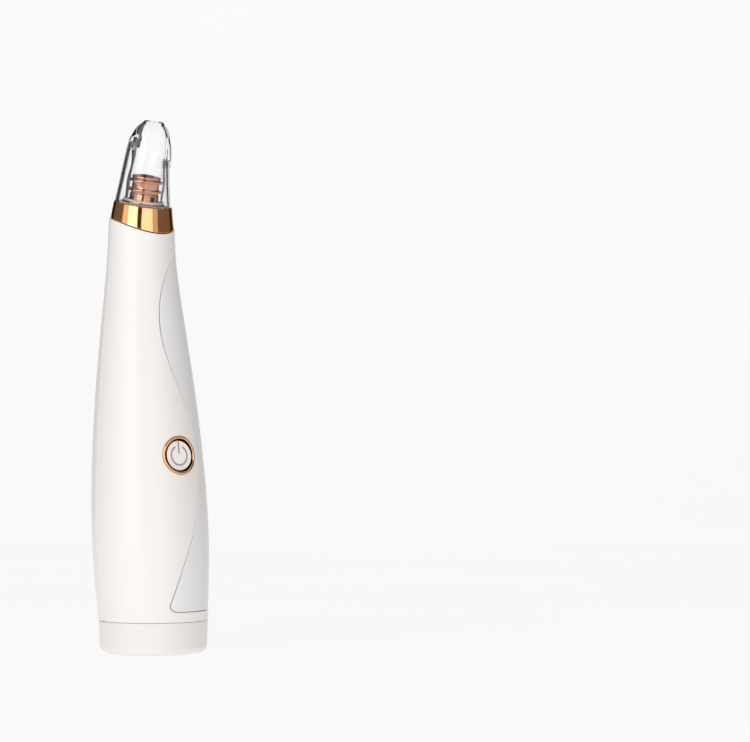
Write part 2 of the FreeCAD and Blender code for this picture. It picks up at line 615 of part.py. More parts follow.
def make_board():
    board = box("board_sheet", (-D.board_half, D.board_front, D.board_low),
                (D.board_half, D.board_rear, D.board_high))
    holes = []
    for side in (-1, 1):
        for level, rise in (("low", D.boss_low), ("high", D.boss_high)):
            at = (D.boss_across * side, D.board_front - 1, rise)
            holes.append(cylinder(f"board_hole_{side + 1}_{level}", 0.85, 4, at, turn=-90))
    piece(cut("main_board", board, *holes), "main_board")
    blocks = [box(f"chip_{number}", (left, D.board_front - thick, low), (right, D.board_front, high))
              for number, ((left, low), (right, high), thick) in enumerate(CHIPS)]
    piece(group("board_chips", *blocks), "board_chips")

    front = D.board_front - D.socket_thick
    shell = box("socket_outer", (-D.socket_half, front, D.socket_low),
                (D.socket_half, D.board_front, D.socket_high))
    inside = box("socket_inside", (-D.socket_half + 0.3, front + 0.3, D.socket_low - 1),
                 (D.socket_half - 0.3, D.board_front - 0.3, D.socket_high - 0.6))
    tongue = box("socket_tongue", (-2.2, front + 0.9, D.socket_low + 0.6),
                 (2.2, front + 1.5, D.socket_high - 0.3))
    piece(fuse("usb_socket", cut("socket_shell", shell, inside), tongue), "usb_socket")

    switch_front = D.board_front - D.switch_thick
    switch_centre = D.button_rise + 0.6
    body = box("switch_block", (-D.switch_half, switch_front, switch_centre - D.switch_half),
               (D.switch_half, D.board_front, switch_centre + D.switch_half))
    bore = cylinder("switch_bore", 1.8, 2, (0, switch_front - 0.5, switch_centre), turn=-90)
    piece(cut("switch_body", body, bore), "switch_body")
    at = (0, switch_front - 1.0, switch_centre)
    piece(cylinder("switch_plunger", D.plunger_radius, 1.9, at, turn=-90), "switch_plunger")


# ---------------------------------------------------------------- motor


def make_motor():
    outer, low, high = D.motor_radius, D.motor_low, D.motor_high
    bush = D.shaft_radius + 1.0
    inner = outer - 0.8
    can = [(outer, low), (outer, high - 0.6), (outer - 0.6, high), (3.0, high), (3.0, high + 1.0),
           (bush, high + 1.0), (bush, high - 1.6), (3.0, high - 1.6), (3.0, high - 0.8), (inner, high - 0.8),
           (inner, low)]
    piece(revolved("motor_can", can, DRIVE), "motor_can")
    end = [(bush, low - 2), (outer - 0.3, low - 2), (outer, low - 1.7), (outer, low), (outer - 0.85, low),
           (outer - 0.85, low + 1), (3.4, low + 1), (3.4, low + 0.3), (bush, low + 0.3)]
    piece(revolved("motor_end_cap", end, DRIVE), "motor_end_cap")
    bore = D.shaft_radius + D.running_gap
    bushes = []
    for name, bottom, top in (("low", low - 1.9, low + 0.2), ("high", high - 1.5, high + 0.9)):
        ring = [(bore, bottom), (bush - 0.02, bottom), (bush - 0.02, top), (bore, top)]
        bushes.append(revolved(f"bush_{name}", ring, DRIVE))
    piece(group("motor_bushes", *bushes), "motor_bushes")
    outline = [(7.0, low + 3), (outer - 0.85, low + 3), (outer - 0.85, high - 3), (7.0, high - 3)]
    magnet = revolved("magnet", outline, DRIVE, turn=130)
    other = place(linked("magnet_other", magnet), (0, D.drive_back * 2, 0), (0, 0, 1), 180)
    piece(group("motor_magnets", magnet, other), "motor_magnets")

    shaft = [(0, low - 1.8), (D.shaft_radius - 0.2, low - 1.8), (D.shaft_radius, low - 1.6),
             (D.shaft_radius, D.shaft_high - 0.2), (D.shaft_radius - 0.2, D.shaft_high), (0, D.shaft_high)]
    piece(revolved("motor_shaft", shaft, DRIVE), "motor_shaft")
    core = [(D.shaft_radius, low + 1.3), (2.3, low + 1.3), (2.3, low + 3.9), (4.0, low + 4.1),
            (6.55, low + 5), (6.55, high - 4), (4.0, high - 3.2), (D.shaft_radius, high - 3.2)]
    slot = box("armature_slot", (-0.5, 3.4, low + 3.9), (0.5, 8, high))
    slots = polar("armature_slot_copy", slot, 3, DRIVE)
    piece(cut("motor_armature", revolved("armature_core", core, DRIVE), *slots), "motor_armature")

    terminals = [box(f"terminal_{side + 1}", (5.5 * side - 0.9, 2.2, low - 3.6),
                     (5.5 * side + 0.9, 2.6, low - 2)) for side in (-1, 1)]
    piece(group("motor_terminals", *terminals), "motor_terminals")
    inside = outer + 0.05
    sleeve = [(inside, D.cushion_low), (inside + D.cushion_wall, D.cushion_low),
              (inside + D.cushion_wall, D.cushion_high), (inside, D.cushion_high)]
    piece(revolved("motor_cushion", sleeve, DRIVE), "motor_cushion")


# ---------------------------------------------------------------- pump


def drive_disc(name, radius, low, high):
    return cylinder(name, radius, sized(high) - low, (0, D.drive_back, low))


def ring_of(name, radius, circle, low, high, turn=0):
    """Three upright rods, evenly round the drive axis."""
    rod = cylinder(f"{name}_rod", radius, sized(high) - low, (0, circle, low))
    return [place(linked(f"{name}_{number}", rod), DRIVE, (0, 0, 1), 120 * number + turn)
            for number in range(3)]


def make_pump():
    low = D.motor_high + 0.05
    floor = low + D.frame_floor
    frame = [(D.frame_way, low), (D.pump_radius, low), (D.pump_radius, D.frame_high),
             (D.pump_bore, D.frame_high), (D.pump_bore, floor), (D.frame_way, floor)]
    screw_ways = ring_of("frame_way", D.screw_way, D.screw_circle, D.cam_low, D.frame_high + 1, 60)
    piece(cut("pump_frame", revolved("frame_turned", frame, DRIVE), *screw_ways), "pump_frame")

    hub = cut("cam_hub", drive_disc("cam_disc", D.cam_radius, D.cam_low, D.cam_high),
              drive_disc("cam_bore", D.shaft_radius, D.cam_low - 1, D.shaft_high))
    crank = cylinder("cam_crank", D.crank_radius, 2.5, (D.crank_offset, D.drive_back, D.shaft_high))
    piece(fuse("eccentric_cam", hub, crank), "eccentric_cam")

    arm = box("wobble_arm", (-1.1, 2.1, D.arm_low), (1.1, D.cup_circle, D.wobble_high))
    arms = [place(linked(f"wobble_arm_{number}", arm), DRIVE, (0, 0, 1), 120 * number) for number in range(3)]
    pads = ring_of("wobble_pad", 1.7, D.cup_circle, D.arm_low, D.wobble_high)
    hub = fuse("wobble_solid", drive_disc("wobble_hub", 3.0, D.wobble_low, D.wobble_high), *arms, *pads)
    bore = drive_disc("wobble_bore", 2.0, D.wobble_low - 1, D.wobble_high - 0.35)
    piece(cut("wobble_plate", hub, bore), "wobble_plate")

    sheet = drive_disc("diaphragm_sheet", D.pump_radius, D.frame_high, D.frame_high + 1)
    cup_low = D.wobble_high + 0.05
    cups = ring_of("diaphragm_cup", D.cup_radius, D.cup_circle, cup_low, D.frame_high + 0.5)
    insides = ring_of("diaphragm_inside", D.cup_radius - 0.6, D.cup_circle, cup_low + 0.65, D.frame_high + 2)
    ways = ring_of("diaphragm_way", D.screw_way, D.screw_circle, D.frame_high - 1, D.frame_high + 2, 60)
    piece(cut("pump_diaphragm", fuse("diaphragm_solid", sheet, *cups), *insides, *ways), "pump_diaphragm")

    plate = drive_disc("valve_disc", D.pump_radius, D.frame_high + 1, D.valve_high)
    top = D.valve_high + 1.5
    holes = ring_of("valve_hole", 0.5, D.cup_circle - 0.9, D.frame_high, top)
    holes += ring_of("valve_outer_hole", 0.5, D.cup_circle + 0.9, D.frame_high, top)
    ways = ring_of("valve_way", D.screw_way, D.screw_circle, D.frame_high, top, 60)
    piece(cut("valve_plate", plate, *holes, *ways), "valve_plate")
    flaps = ring_of("valve_flap", 1.5, D.cup_circle, D.valve_high, D.valve_high + 0.5)
    piece(group("valve_flaps", *flaps), "valve_flaps")

    cover = [(0, D.valve_high + 2), (7.2, D.valve_high + 2), (7.2, D.valve_high),
             (D.pump_radius, D.valve_high), (D.pump_radius, D.cover_high - 0.4),
             (D.pump_radius - 0.4, D.cover_high), (0, D.cover_high)]
    barbs = []
    bores = ring_of("cover_way", D.screw_way, D.screw_circle, D.valve_high - 1, D.cover_high + 2, 60)
    for name, back in (("suction", D.suction_back), ("exhaust", D.exhaust_back)):
        at = (0, back, D.cover_high - 0.5)
        barbs.append(cylinder(f"{name}_barb", D.barb_radius, D.barb_rise + 0.5, at))
        bores.append(cylinder(f"{name}_bore", D.barb_bore, 12, (0, back, D.valve_high + 1)))
    wall = box("cover_divider", (-7.3, D.drive_back - 0.4, D.valve_high + 0.55),
               (7.3, D.drive_back + 0.4, D.valve_high + 2.2))
    cover = fuse("cover_solid", revolved("cover_turned", cover, DRIVE), *barbs, wall)
    piece(cut("pump_cover", cover, *bores), "pump_cover")

    screw = revolved("pump_screw", [(0, D.cover_high + 0.9), (1.3, D.cover_high + 0.9), (1.3, D.cover_high),
                                    (0.7, D.cover_high), (0.7, D.cam_low + 0.6), (0, D.cam_low + 0.2)],
                     (0, D.screw_circle, 0))
    screws = [place(linked(f"pump_screw_{number}", screw), DRIVE, (0, 0, 1), 120 * number + 60)
              for number in range(3)]
    piece(group("pump_screws", *screws), "pump_screws")
    top = D.cover_high + D.barb_rise
    inside, outside = D.barb_radius + 0.02, D.barb_radius + 1.15
    foam = [(inside, D.cover_high + 1.2), (outside, D.cover_high + 1.2), (outside, top + 1.5), (0, top + 1.5),
            (0, top + 0.1), (inside, top + 0.1)]
    piece(revolved("muffler_foam", foam, (0, D.exhaust_back, 0)), "muffler_foam")


# ---------------------------------------------------------------- hose and leads


def make_runs():
    def along_head(depth):
        return (D.head_forward + sine(D.head_lean) * depth, D.head_rise - cosine(D.head_lean) * depth)

    path = route("hose", 0, [(D.suction_back, D.cover_high + 1), (D.suction_back, 115.5),
                             along_head(21), along_head(6)])
    hose = cut("suction_hose", tube("hose_outer", path, D.hose_radius), tube("hose_inner", path, D.hose_bore))
    piece(hose, "suction_hose")
    motor_path = [(2.4, D.motor_low - 3.65), (2.4, 62.9), (D.board_rear + 0.02, 62.9)]
    cell_path = [(5.0, D.cell_high + 0.02), (5.0, 64.7), (D.board_rear + 0.02, 64.7)]
    for name, across, points in (("motor", 5.5, motor_path), ("battery", 1.5, cell_path)):
        leads = []
        for side in (-1, 1):
            path = route(f"{name}_lead_{side + 1}", across * side, points)
            leads.append(tube(f"{name}_lead_{side + 1}", path, D.lead_radius))
        piece(group(f"{name}_leads", *leads), f"{name}_leads")


# ---------------------------------------------------------------- build, check and write


def check_and_write():
    DOC.recompute()
    failed = [item.Name for item in DOC.Objects if "Invalid" in item.State or "Error" in item.State]
    failed += [item.Label for item in PIECES if item.Shape.isNull() or not item.Shape.isValid()
               or not item.Shape.Solids]
    if failed:
        raise RuntimeError(f"failed objects: {failed}")
    os.makedirs("parts", exist_ok=True)
    for item in PIECES:
        item.Shape.exportStep(f"parts/{item.Label}.step")
        print(f"{item.Label}: {len(item.Shape.Solids)} solids, {item.Shape.Volume:.1f} mm3")


make_barrel()
make_foot()
make_collar()
make_button()
make_tip()
make_nozzle()
make_chassis()
make_board()
make_motor()
make_pump()
make_runs()
check_and_write()
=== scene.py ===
"""Visual model of the blackhead vacuum extractor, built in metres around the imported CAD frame.

Lengths below are millimetres until a mesh is made. +Z is up, the power button faces -Y, +X is the side
with the inset panel, and the head leans over the button.
"""
import json
import math
import bmesh
import bpy
import numpy as np
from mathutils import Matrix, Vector
from mathutils.geometry import delaunay_2d_cdt


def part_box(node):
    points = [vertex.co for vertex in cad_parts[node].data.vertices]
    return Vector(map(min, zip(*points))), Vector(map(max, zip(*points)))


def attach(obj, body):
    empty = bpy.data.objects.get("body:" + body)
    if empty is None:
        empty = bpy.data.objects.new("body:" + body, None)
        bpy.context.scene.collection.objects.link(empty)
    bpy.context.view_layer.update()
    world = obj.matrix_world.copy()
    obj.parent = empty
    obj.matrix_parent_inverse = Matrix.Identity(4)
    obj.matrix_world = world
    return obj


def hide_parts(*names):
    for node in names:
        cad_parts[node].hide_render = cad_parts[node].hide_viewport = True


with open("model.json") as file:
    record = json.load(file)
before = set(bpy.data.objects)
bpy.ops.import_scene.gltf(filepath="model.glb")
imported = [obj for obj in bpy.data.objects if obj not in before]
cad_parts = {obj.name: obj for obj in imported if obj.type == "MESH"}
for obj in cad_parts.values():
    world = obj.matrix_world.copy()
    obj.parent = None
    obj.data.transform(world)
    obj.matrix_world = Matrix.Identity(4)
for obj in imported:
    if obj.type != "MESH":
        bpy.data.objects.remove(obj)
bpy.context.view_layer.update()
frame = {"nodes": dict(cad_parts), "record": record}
nodes = frame["nodes"]
MM = 0.001
TURNS = 192

# ------------------------ measures of the body

RINGS = np.array([  # height, radius, how far back the centre stands
    (0.0, 18.0, 0.0), (10.7, 18.45, 0.2), (24.0, 19.3, 0.95), (40.0, 19.8, 1.85), (66.0, 18.85, 3.45),
    (91.0, 16.65, 5.05), (115.0, 13.8, 6.5), (134.0, 11.75, 7.25), (150.0, 10.98, 7.35)])
WALL = 2.2
SEAM = 0.1
FOOT_RISE, FOOT_RADIUS, FOOT_RIM, FOOT_BEND, FOOT_EDGE = 11.0, 18.1, 18.4, 2.8, 0.2
FOOT_BORE, FOOT_SPIGOT, SPIGOT_RISE, FOOT_FLOOR = 14.8, 16.1, 13.4, 2.0
FOOT_BACK = 0.2                                             # how far back its upper edge stands
PORT_CORNER, PORT_HALF, PORT_PLAY = 1.0, 1.75, 0.45
SCREW_ACROSS, SCREW_BACK, SCREW_SINK, SCREW_HOLE, SINK_RISE = 9.6, -1.0, 2.0, 1.05, 1.1
VENT_CIRCLE, VENT_RADIUS, VENT_STEP = 8.5, 0.8, 18
PARTING_LOW, PARTING_HIGH = (-5.0, 2.6), (165.0, 11.1)      # height and how far back
HALF_GAP = 0.015                                            # half of the gap between the two shells
OUTER_DEPTH, LINER_TOP = 1.0, 1.02                          # the front shell's two layers
NECK_RADIUS, NECK_BACK, NECK_RISE = 57.0, 23.1, 91.35
HEAD = np.array((0.0, 6.5, 152.15))
LEAN = math.radians(13.0)
TIP_TURN = math.radians(52.0)
PANEL_TURN = math.radians(40.0)
PANEL_FOOT = 14.4
PANEL_SINK, PANEL_DEPTH, PANEL_GAP = 0.15, 0.95, 0.2
PANEL_EDGE = [(16.0, 138.5), (7.5, 137.2), (0.0, 131.5), (-6.3, 117.0), (-7.9, 102.4), (-5.6, 86.0),
              (-2.4, 66.0), (-6.0, 47.5), (-12.6, 29.0), (-15.7, 16.8)]
BUTTON = np.array((0.0, -15.3, 66.8))
BUTTON_TILT = math.radians(7.7)
BUTTON_AXIS = np.array((0.0, -math.cos(BUTTON_TILT), math.sin(BUTTON_TILT)))
BUTTON_UP = np.array((0.0, math.sin(BUTTON_TILT), math.cos(BUTTON_TILT)))
BEZEL_IN, BEZEL_OUT, BEZEL_PROUD, BEZEL_GAP = 5.6, 6.45, 0.35, 0.05
BEZEL_LOW, BEZEL_HIGH = 2.2, 1.0                            # its straight walls, below the barrel's surface
CAP_RADIUS, CAP_DROP, CAP_ROUND = 5.1, 0.8, 0.4
CAP_STEM = [(CAP_RADIUS, -2.6), (CAP_RADIUS, -3.75), (6.2, -3.75), (6.2, -4.3), (1.2, -4.3), (1.2, -5.42)]
ICON_LINE, ICON_RADIUS, ICON_GAP = 0.31, 3.2, math.radians(30)
ICON_BAR_LOW, ICON_BAR_HIGH, ICON_PROUD, ICON_DEPTH = 0.55, 4.85, 0.03, 0.25
CRADLE_BACK, CRADLE_BORE, CRADLE_FRONT, CRADLE_THICK = 6.3, 10.45, 7.2, 1.6
CRADLE_LOW, CRADLE_STEP, CRADLE_BITE = 73.0, 6.0, 0.3       # the bite joins a rib to the shell's wall

# ------------------------ measures of the head

SKIRT_RINGS = np.array([  # radius, how far the centre stands towards the high side, rise
    (9.6, 0.1, 0), (8.55, 0.42, 7.7), (7.85, 0.62, 13.7), (7.15, 0.72, 19.5), (6.6, 0.75, 23)])
BULB_RINGS = np.array([
    (7.6, 0.35, 11), (7.85, 0.35, 15.5), (7.6, 0.35, 18.5), (7.05, 0.4, 21.6), (6.27, 0.3, 23.8),
    (4.95, 0.1, 26.4), (3.6, 0, 27.9), (3.3, 0, 28.35)])
CHAMBER_RINGS = np.array([  # radius, rise
    (5.85, -5), (5.85, 0), (5.85, 5), (5.83, 9), (5.55, 11.2), (5.32, 13.5), (5.2, 18), (4.85, 22.5),
    (4.0, 25.6), (3.05, 26.9)])
TUBE_RINGS = np.array([
    (6.45, -5), (6.45, 3), (6.4, 9.0), (5.85, 12.8), (5.9, 15), (6.3, 18), (7.0, 21), (7.8, 24)])
COLLAR_RINGS = np.array([  # radius, how far back the centre stands, rise, lean
    (11.1, 7.35, 142.45, math.radians(5)), (10.5, 7.05, 147.85, math.radians(10)),
    (9.9, HEAD[1], HEAD[2], LEAN)])
COLLAR_KNOTS, COLLAR_BORE = (0.0, 0.56, 1.0), 8.45
SHOULDER_ARC, SHOULDER_BACK, SHOULDER_RISE = 18.8, -8.0, 32.15
TIP_WALL, TUBE_FOOT, TIP_LENGTH, MOUTH_RADIUS, MOUTH_DEPTH = 0.95, 1.6, 28.35, 3.05, 1.5
STEM_DEPTH, STEM_RADIUS, FLANGE_RADIUS, FLANGE_LOW, FLANGE_HIGH = 4.0, 3.8, 7.1, 0.3, 0.9
NOZZLE_BORE, NOZZLE_RADIUS, NOZZLE_TOP = 2.4, 4.9, 9.5
GROOVE_RADIUS, GROOVE_START, GROOVE_END = 4.6, (3.6, 3.85), (8.7, 8.85)     # its two sloping sides
RIB_LOWS, RIB_RADIUS, RIB_RISE, RIB_TAPER = (4.35, 7.5), 5.65, 0.95, 0.12
WINDOW_HALF, WINDOW_LOW, WINDOW_HIGH, WINDOW_REACH = 0.85, 1.5, 3.2, 8
SPONGE_RADIUS, SPONGE_LOW, SPONGE_TOP, SPONGE_GRAIN = 2.33, 3.4, 9.95, 0.035

# ------------------------ mesh helpers


def spline_through(knots, values):
    """Natural cubic spline through the values, as a function that also gives its slope."""
    knots, values = np.asarray(knots, float), np.asarray(values, float)
    gaps = np.diff(knots)
    count = len(knots)
    system = np.eye(count)
    right = np.zeros(count)
    for row in range(1, count - 1):
        system[row, row - 1:row + 2] = gaps[row - 1], 2 * (gaps[row - 1] + gaps[row]), gaps[row]
        right[row] = 6 * ((values[row + 1] - values[row]) / gaps[row]
                          - (values[row] - values[row - 1]) / gaps[row - 1])
    bends = np.linalg.solve(system, right)

    def curve(at, slope=False):
        at = np.asarray(at, float)
        span = np.clip(np.searchsorted(knots, at, side="right") - 1, 0, count - 2)
        gap, low, high = gaps[span], knots[span], knots[span + 1]
        before, after = bends[span], bends[span + 1]
        first = values[span] / gap - before * gap / 6
        last = values[span + 1] / gap - after * gap / 6
        if slope:
            return (after * (at - low) ** 2 - before * (high - at) ** 2) / (2 * gap) - first + last
        return (before * (high - at) ** 3 + after * (at - low) ** 3) / (6 * gap) \
            + first * (high - at) + last * (at - low)

    return curve


def make_object(name, points, faces, material, normals=None, sharp=math.radians(40)):
    """Smooth-shaded object from points in millimetres."""
    mesh = bpy.data.meshes.new(name)
    mesh.from_pydata((np.asarray(points, float) * MM).tolist(), [], faces)
    mesh.validate()
    mesh.shade_smooth()
    if normals is None:
        mesh.set_sharp_from_angle(angle=sharp)
    else:
        mesh.normals_split_custom_set_from_vertices(np.asarray(normals, float).tolist())
    item = bpy.data.objects.new(name, mesh)
    bpy.context.scene.collection.objects.link(item)
    mesh.materials.append(material)
    return item


def stand_for(item, body, slot, *cad_nodes):
    """The finished piece rides on its body and hides its CAD nodes; the slot is not used."""
    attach(item, body)
    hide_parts(*cad_nodes)


def band_faces(turns, count, closed):
    """Quads between neighbouring columns of points, and round the profile too where it is closed."""
    faces = []
    for turn in range(turns):
        here, there = turn * count, (turn + 1) % turns * count
        for row in range(count if closed else count - 1):
            after = (row + 1) % count
            faces.append((here + row, there + row, there + after, here + after))
    return faces


def swept(name, columns, material, poles=(None, None), sharp=math.radians(40)):
    """Piece from one profile per turn: a closed ring, or a body closed at two poles."""
    columns = np.asarray(columns, float)
    turns, count, _ = columns.shape
    closed = poles[0] is None
    points = columns.reshape(-1, 3)
    faces = band_faces(turns, count, closed)
    if not closed:
        points = np.vstack([points, poles])
        first, last = len(points) - 2, len(points) - 1
        for turn in range(turns):
            here, there = turn * count, (turn + 1) % turns * count
            faces.append((here, first, there))
            faces.append((here + count - 1, there + count - 1, last))
    return make_object(name, points, faces, material, sharp=sharp)


def rounded(corners, radius, steps=5):
    """A profile's (radius, rise) corners with each one turned into a small arc."""
    corners = [np.array(corner, float) for corner in corners]
    path = []
    for number, corner in enumerate(corners):
        before, after = corners[number - 1] - corner, corners[(number + 1) % len(corners)] - corner
        size_before, size_after = np.linalg.norm(before), np.linalg.norm(after)
        reach = min(radius, 0.45 * size_before, 0.45 * size_after)
        start, end = corner + before / size_before * reach, corner + after / size_after * reach
        for step in range(steps + 1):
            part = step / steps
            path.append((1 - part) ** 2 * start + 2 * part * (1 - part) * corner + part ** 2 * end)
    return path


def angles(turns=TURNS):
    return np.arange(turns) * 2 * math.pi / turns


def arc_points(middle, level, radius, start, end, count):
    """Points of a circular arc in a profile, from the angle at its start to the one at its end."""
    return [(middle + radius * math.cos(turn), level + radius * math.sin(turn))
            for turn in np.linspace(start, end, count)]


def last_true(low, high, test):
    """Where a test that holds at the low end stops holding."""
    for _ in range(40):
        middle = (low + high) / 2
        low, high = (middle, high) if test(middle) else (low, middle)
    return low


def lathe(profile, turns=TURNS):
    """Columns of a profile of (radius, rise) turned about the Z axis."""
    profile = np.asarray(profile, float)
    columns = np.empty((turns, len(profile), 3))
    for turn, angle in enumerate(angles(turns)):
        columns[turn, :, 0] = profile[:, 0] * math.cos(angle)
        columns[turn, :, 1] = profile[:, 0] * math.sin(angle)
        columns[turn, :, 2] = profile[:, 1]
    return columns


def on_head(points):
    """Points of the head's own frame in the row frame."""
    points = np.asarray(points, float)
    x, y, z = points[..., 0], points[..., 1], points[..., 2]
    return np.stack([x, y * math.cos(LEAN) - z * math.sin(LEAN),
                     y * math.sin(LEAN) + z * math.cos(LEAN)], -1) + HEAD


def add_bevel(item, width, segments, angle):
    """Round the edges sharper than an angle given in degrees."""
    bevel = item.modifiers.new("edges", "BEVEL")
    bevel.width = width * MM
    bevel.segments = segments
    bevel.limit_method = "ANGLE"
    bevel.angle_limit = math.radians(angle)
    bevel.harden_normals = True


def subtract(item, cutters):
    """Cut temporary solids out of a piece and delete them."""
    for cutter in cutters:
        bite = item.modifiers.new("bite", "BOOLEAN")
        bite.operation = "DIFFERENCE"
        bite.solver = "EXACT"
        bite.object = cutter
    bpy.context.view_layer.update()
    graph = bpy.context.evaluated_depsgraph_get()
    mesh = bpy.data.meshes.new_from_object(item.evaluated_get(graph))
    item.modifiers.clear()
    item.data = mesh
    mesh.shade_smooth()
    mesh.set_sharp_from_angle(angle=math.radians(30))
    for cutter in cutters:
        bpy.data.objects.remove(cutter)


def solid_prism(name, outline, low, high):
    """Upright prism used as a cutter."""
    count = len(outline)
    points = [(x, y, low) for x, y in outline] + [(x, y, high) for x, y in outline]
    faces = [tuple(reversed(range(count))), tuple(range(count, 2 * count))]
    faces += [(number, (number + 1) % count, count + (number + 1) % count, count + number)
              for number in range(count)]
    return make_object(name, points, faces, plain_dark)


def circle_outline(x, y, radius):
    return [(x + radius * math.cos(angle), y + radius * math.sin(angle)) for angle in angles(40)]


# ------------------------ materials


class Nodes:
    """A material's node tree, with short calls for the few nodes used here."""

    def __init__(self, name):
        self.material = bpy.data.materials.new(name)
        self.material.use_nodes = True
        self.tree = self.material.node_tree
        self.shader = self.tree.nodes["Principled BSDF"]
        self.place = self.tree.nodes.new("ShaderNodeTexCoord").outputs["Object"]

    def link(self, source, target):
        self.tree.links.new(source, target)

    def set(self, **values):
        for name, value in values.items():
            self.shader.inputs[name.replace("_", " ")].default_value = value

    def noise(self, scale, detail=2.0, stretch=None):
        node = self.tree.nodes.new("ShaderNodeTexNoise")
        node.inputs["Scale"].default_value = scale
        node.inputs["Detail"].default_value = detail
        self.link(self.stretched(stretch), node.inputs["Vector"])
        return node.outputs["Fac"]

    def stretched(self, stretch):
        if stretch is None:
            return self.place
        node = self.tree.nodes.new("ShaderNodeMapping")
        node.inputs["Scale"].default_value = stretch
        self.link(self.place, node.inputs["Vector"])
        return node.outputs["Vector"]

    def cells(self, scale):
        node = self.tree.nodes.new("ShaderNodeTexVoronoi")
        node.inputs["Scale"].default_value = scale
        self.link(self.place, node.inputs["Vector"])
        return node.outputs["Distance"]

    def ramp(self, source, *stops):
        node = self.tree.nodes.new("ShaderNodeValToRGB")
        elements = node.color_ramp.elements
        while len(elements) < len(stops):
            elements.new(0.5)
        for element, (position, colour) in zip(elements, stops):
            element.position = position
            element.color = (*colour, 1.0)
        self.link(source, node.inputs["Fac"])
        return node.outputs["Color"]

    def vector(self, operation, first, second=None):
        node = self.tree.nodes.new("ShaderNodeVectorMath")
        node.operation = operation
        self.link(first, node.inputs[0])
        if second is not None:
            node.inputs[1].default_value = second
        return node.outputs["Value" if operation == "LENGTH" else "Vector"]

    def spread(self, source, low, high, start=0.0, end=1.0):
        node = self.tree.nodes.new("ShaderNodeMapRange")
        node.inputs["From Min"].default_value = start
        node.inputs["From Max"].default_value = end
        node.inputs["To Min"].default_value = low
        node.inputs["To Max"].default_value = high
        self.link(source, node.inputs["Value"])
        return node.outputs["Result"]

    def bump(self, source, strength, distance):
        node = self.tree.nodes.new("ShaderNodeBump")
        node.inputs["Strength"].default_value = strength
        node.inputs["Distance"].default_value = distance
        self.link(source, node.inputs["Height"])
        self.link(node.outputs["Normal"], self.shader.inputs["Normal"])

    def colour(self, source):
        self.link(source, self.shader.inputs["Base Color"])

    def rough(self, source):
        self.link(source, self.shader.inputs["Roughness"])


def shade(colour, factor):
    return tuple(min(1.0, channel * factor) for channel in colour)


def plastic(name, colour, low, high, bump=0.05, coat=0.0, shift=0.03):
    """Moulded plastic: faint cloudy tone, polish that varies a little, and fine mould texture."""
    made = Nodes(name)
    cloud = made.noise(45.0, 3.0)
    made.colour(made.ramp(cloud, (0.3, shade(colour, 1 - shift)), (0.7, colour)))
    made.rough(made.spread(made.noise(160.0, 4.0), low, high))
    made.bump(made.noise(900.0, 3.0), bump, 0.00004)
    made.set(IOR=1.5)
    if coat:
        made.set(Coat_Weight=coat, Coat_Roughness=0.06)
    return made.material


def metal(name, colour, low, high, stretch=None, bump=0.04, edge=(1.0, 1.0, 1.0)):
    """Plated or machined metal: tone and polish vary slightly, with fine lines where it is turned."""
    made = Nodes(name)
    made.set(Metallic=1.0, Specular_Tint=(*edge, 1.0))
    made.colour(made.ramp(made.noise(80.0, 2.0), (0.35, shade(colour, 0.94)), (0.65, colour)))
    made.rough(made.spread(made.noise(220.0, 3.0, stretch=stretch), low, high))
    made.bump(made.noise(700.0, 2.0, stretch=stretch), bump, 0.00002)
    return made.material


def painted_shade_rimmed(name, colour, low, high):
    """Button plastic: a pale face inside a flank painted near-black as the shade in the groove round the cap,
    starting near the cap's edge.
    """
    made = Nodes(name)
    offset = made.vector("SUBTRACT", made.place, tuple(BUTTON * MM))
    away = made.vector("LENGTH", made.vector("CROSS_PRODUCT", offset, tuple(BUTTON_AXIS)))
    flank = made.spread(away, 0.0, 1.0, (CAP_RADIUS - 0.17) * MM, (CAP_RADIUS - 0.09) * MM)
    # painted shade: the flank's near-black colour stands for the shade in the deep groove between cap and
    # bezel
    made.colour(made.ramp(flank, (0.0, colour), (1.0, (0.012, 0.011, 0.011))))
    made.rough(made.spread(made.noise(160.0, 4.0), low, high))
    made.bump(made.noise(900.0, 3.0), 0.02, 0.00004)
    return made.material


def rubber(name, colour, low=0.5, high=0.7):
    """Matt, faintly dusty rubber or silicone."""
    made = Nodes(name)
    made.colour(made.ramp(made.noise(120.0, 3.0), (0.3, shade(colour, 0.85)), (0.7, colour)))
    made.rough(made.spread(made.noise(300.0, 3.0), low, high))
    made.bump(made.noise(1500.0, 3.0), 0.12, 0.00004)
    made.set(Sheen_Weight=0.15)
    return made.material


def foam(name, colour):
    """Open-cell sponge: pores darkened with painted shade between lighter strands."""
    made = Nodes(name)
    pores = made.cells(1800.0)
    # painted shade: the pores' colour is darkened to stand in for the shade inside them
    made.colour(made.ramp(pores, (0.1, shade(colour, 0.3)), (0.6, colour)))
    made.rough(made.spread(made.noise(500.0), 0.85, 1.0))
    made.bump(pores, 0.8, 0.0003)
    return made.material


def clear_plastic(name):
    """Water-clear moulding with painted shade on its walls where they are seen edge-on."""
    made = Nodes(name)
    made.set(Transmission_Weight=1.0, IOR=1.49, Specular_Tint=(0.30, 0.30, 0.34, 1.0))
    edge = made.tree.nodes.new("ShaderNodeLayerWeight")
    edge.inputs["Blend"].default_value = 0.5
    # painted shade: the colour darkens where the walls are seen edge-on, standing in for the tip's dark
    # outline
    made.colour(made.ramp(edge.outputs["Facing"], (0.62, (1.0, 1.0, 1.0)), (0.82, (0.13, 0.13, 0.17))))
    made.rough(made.spread(made.noise(260.0, 3.0), 0.0, 0.015))
    made.bump(made.noise(70.0, 1.0), 0.02, 0.00005)
    return made.material


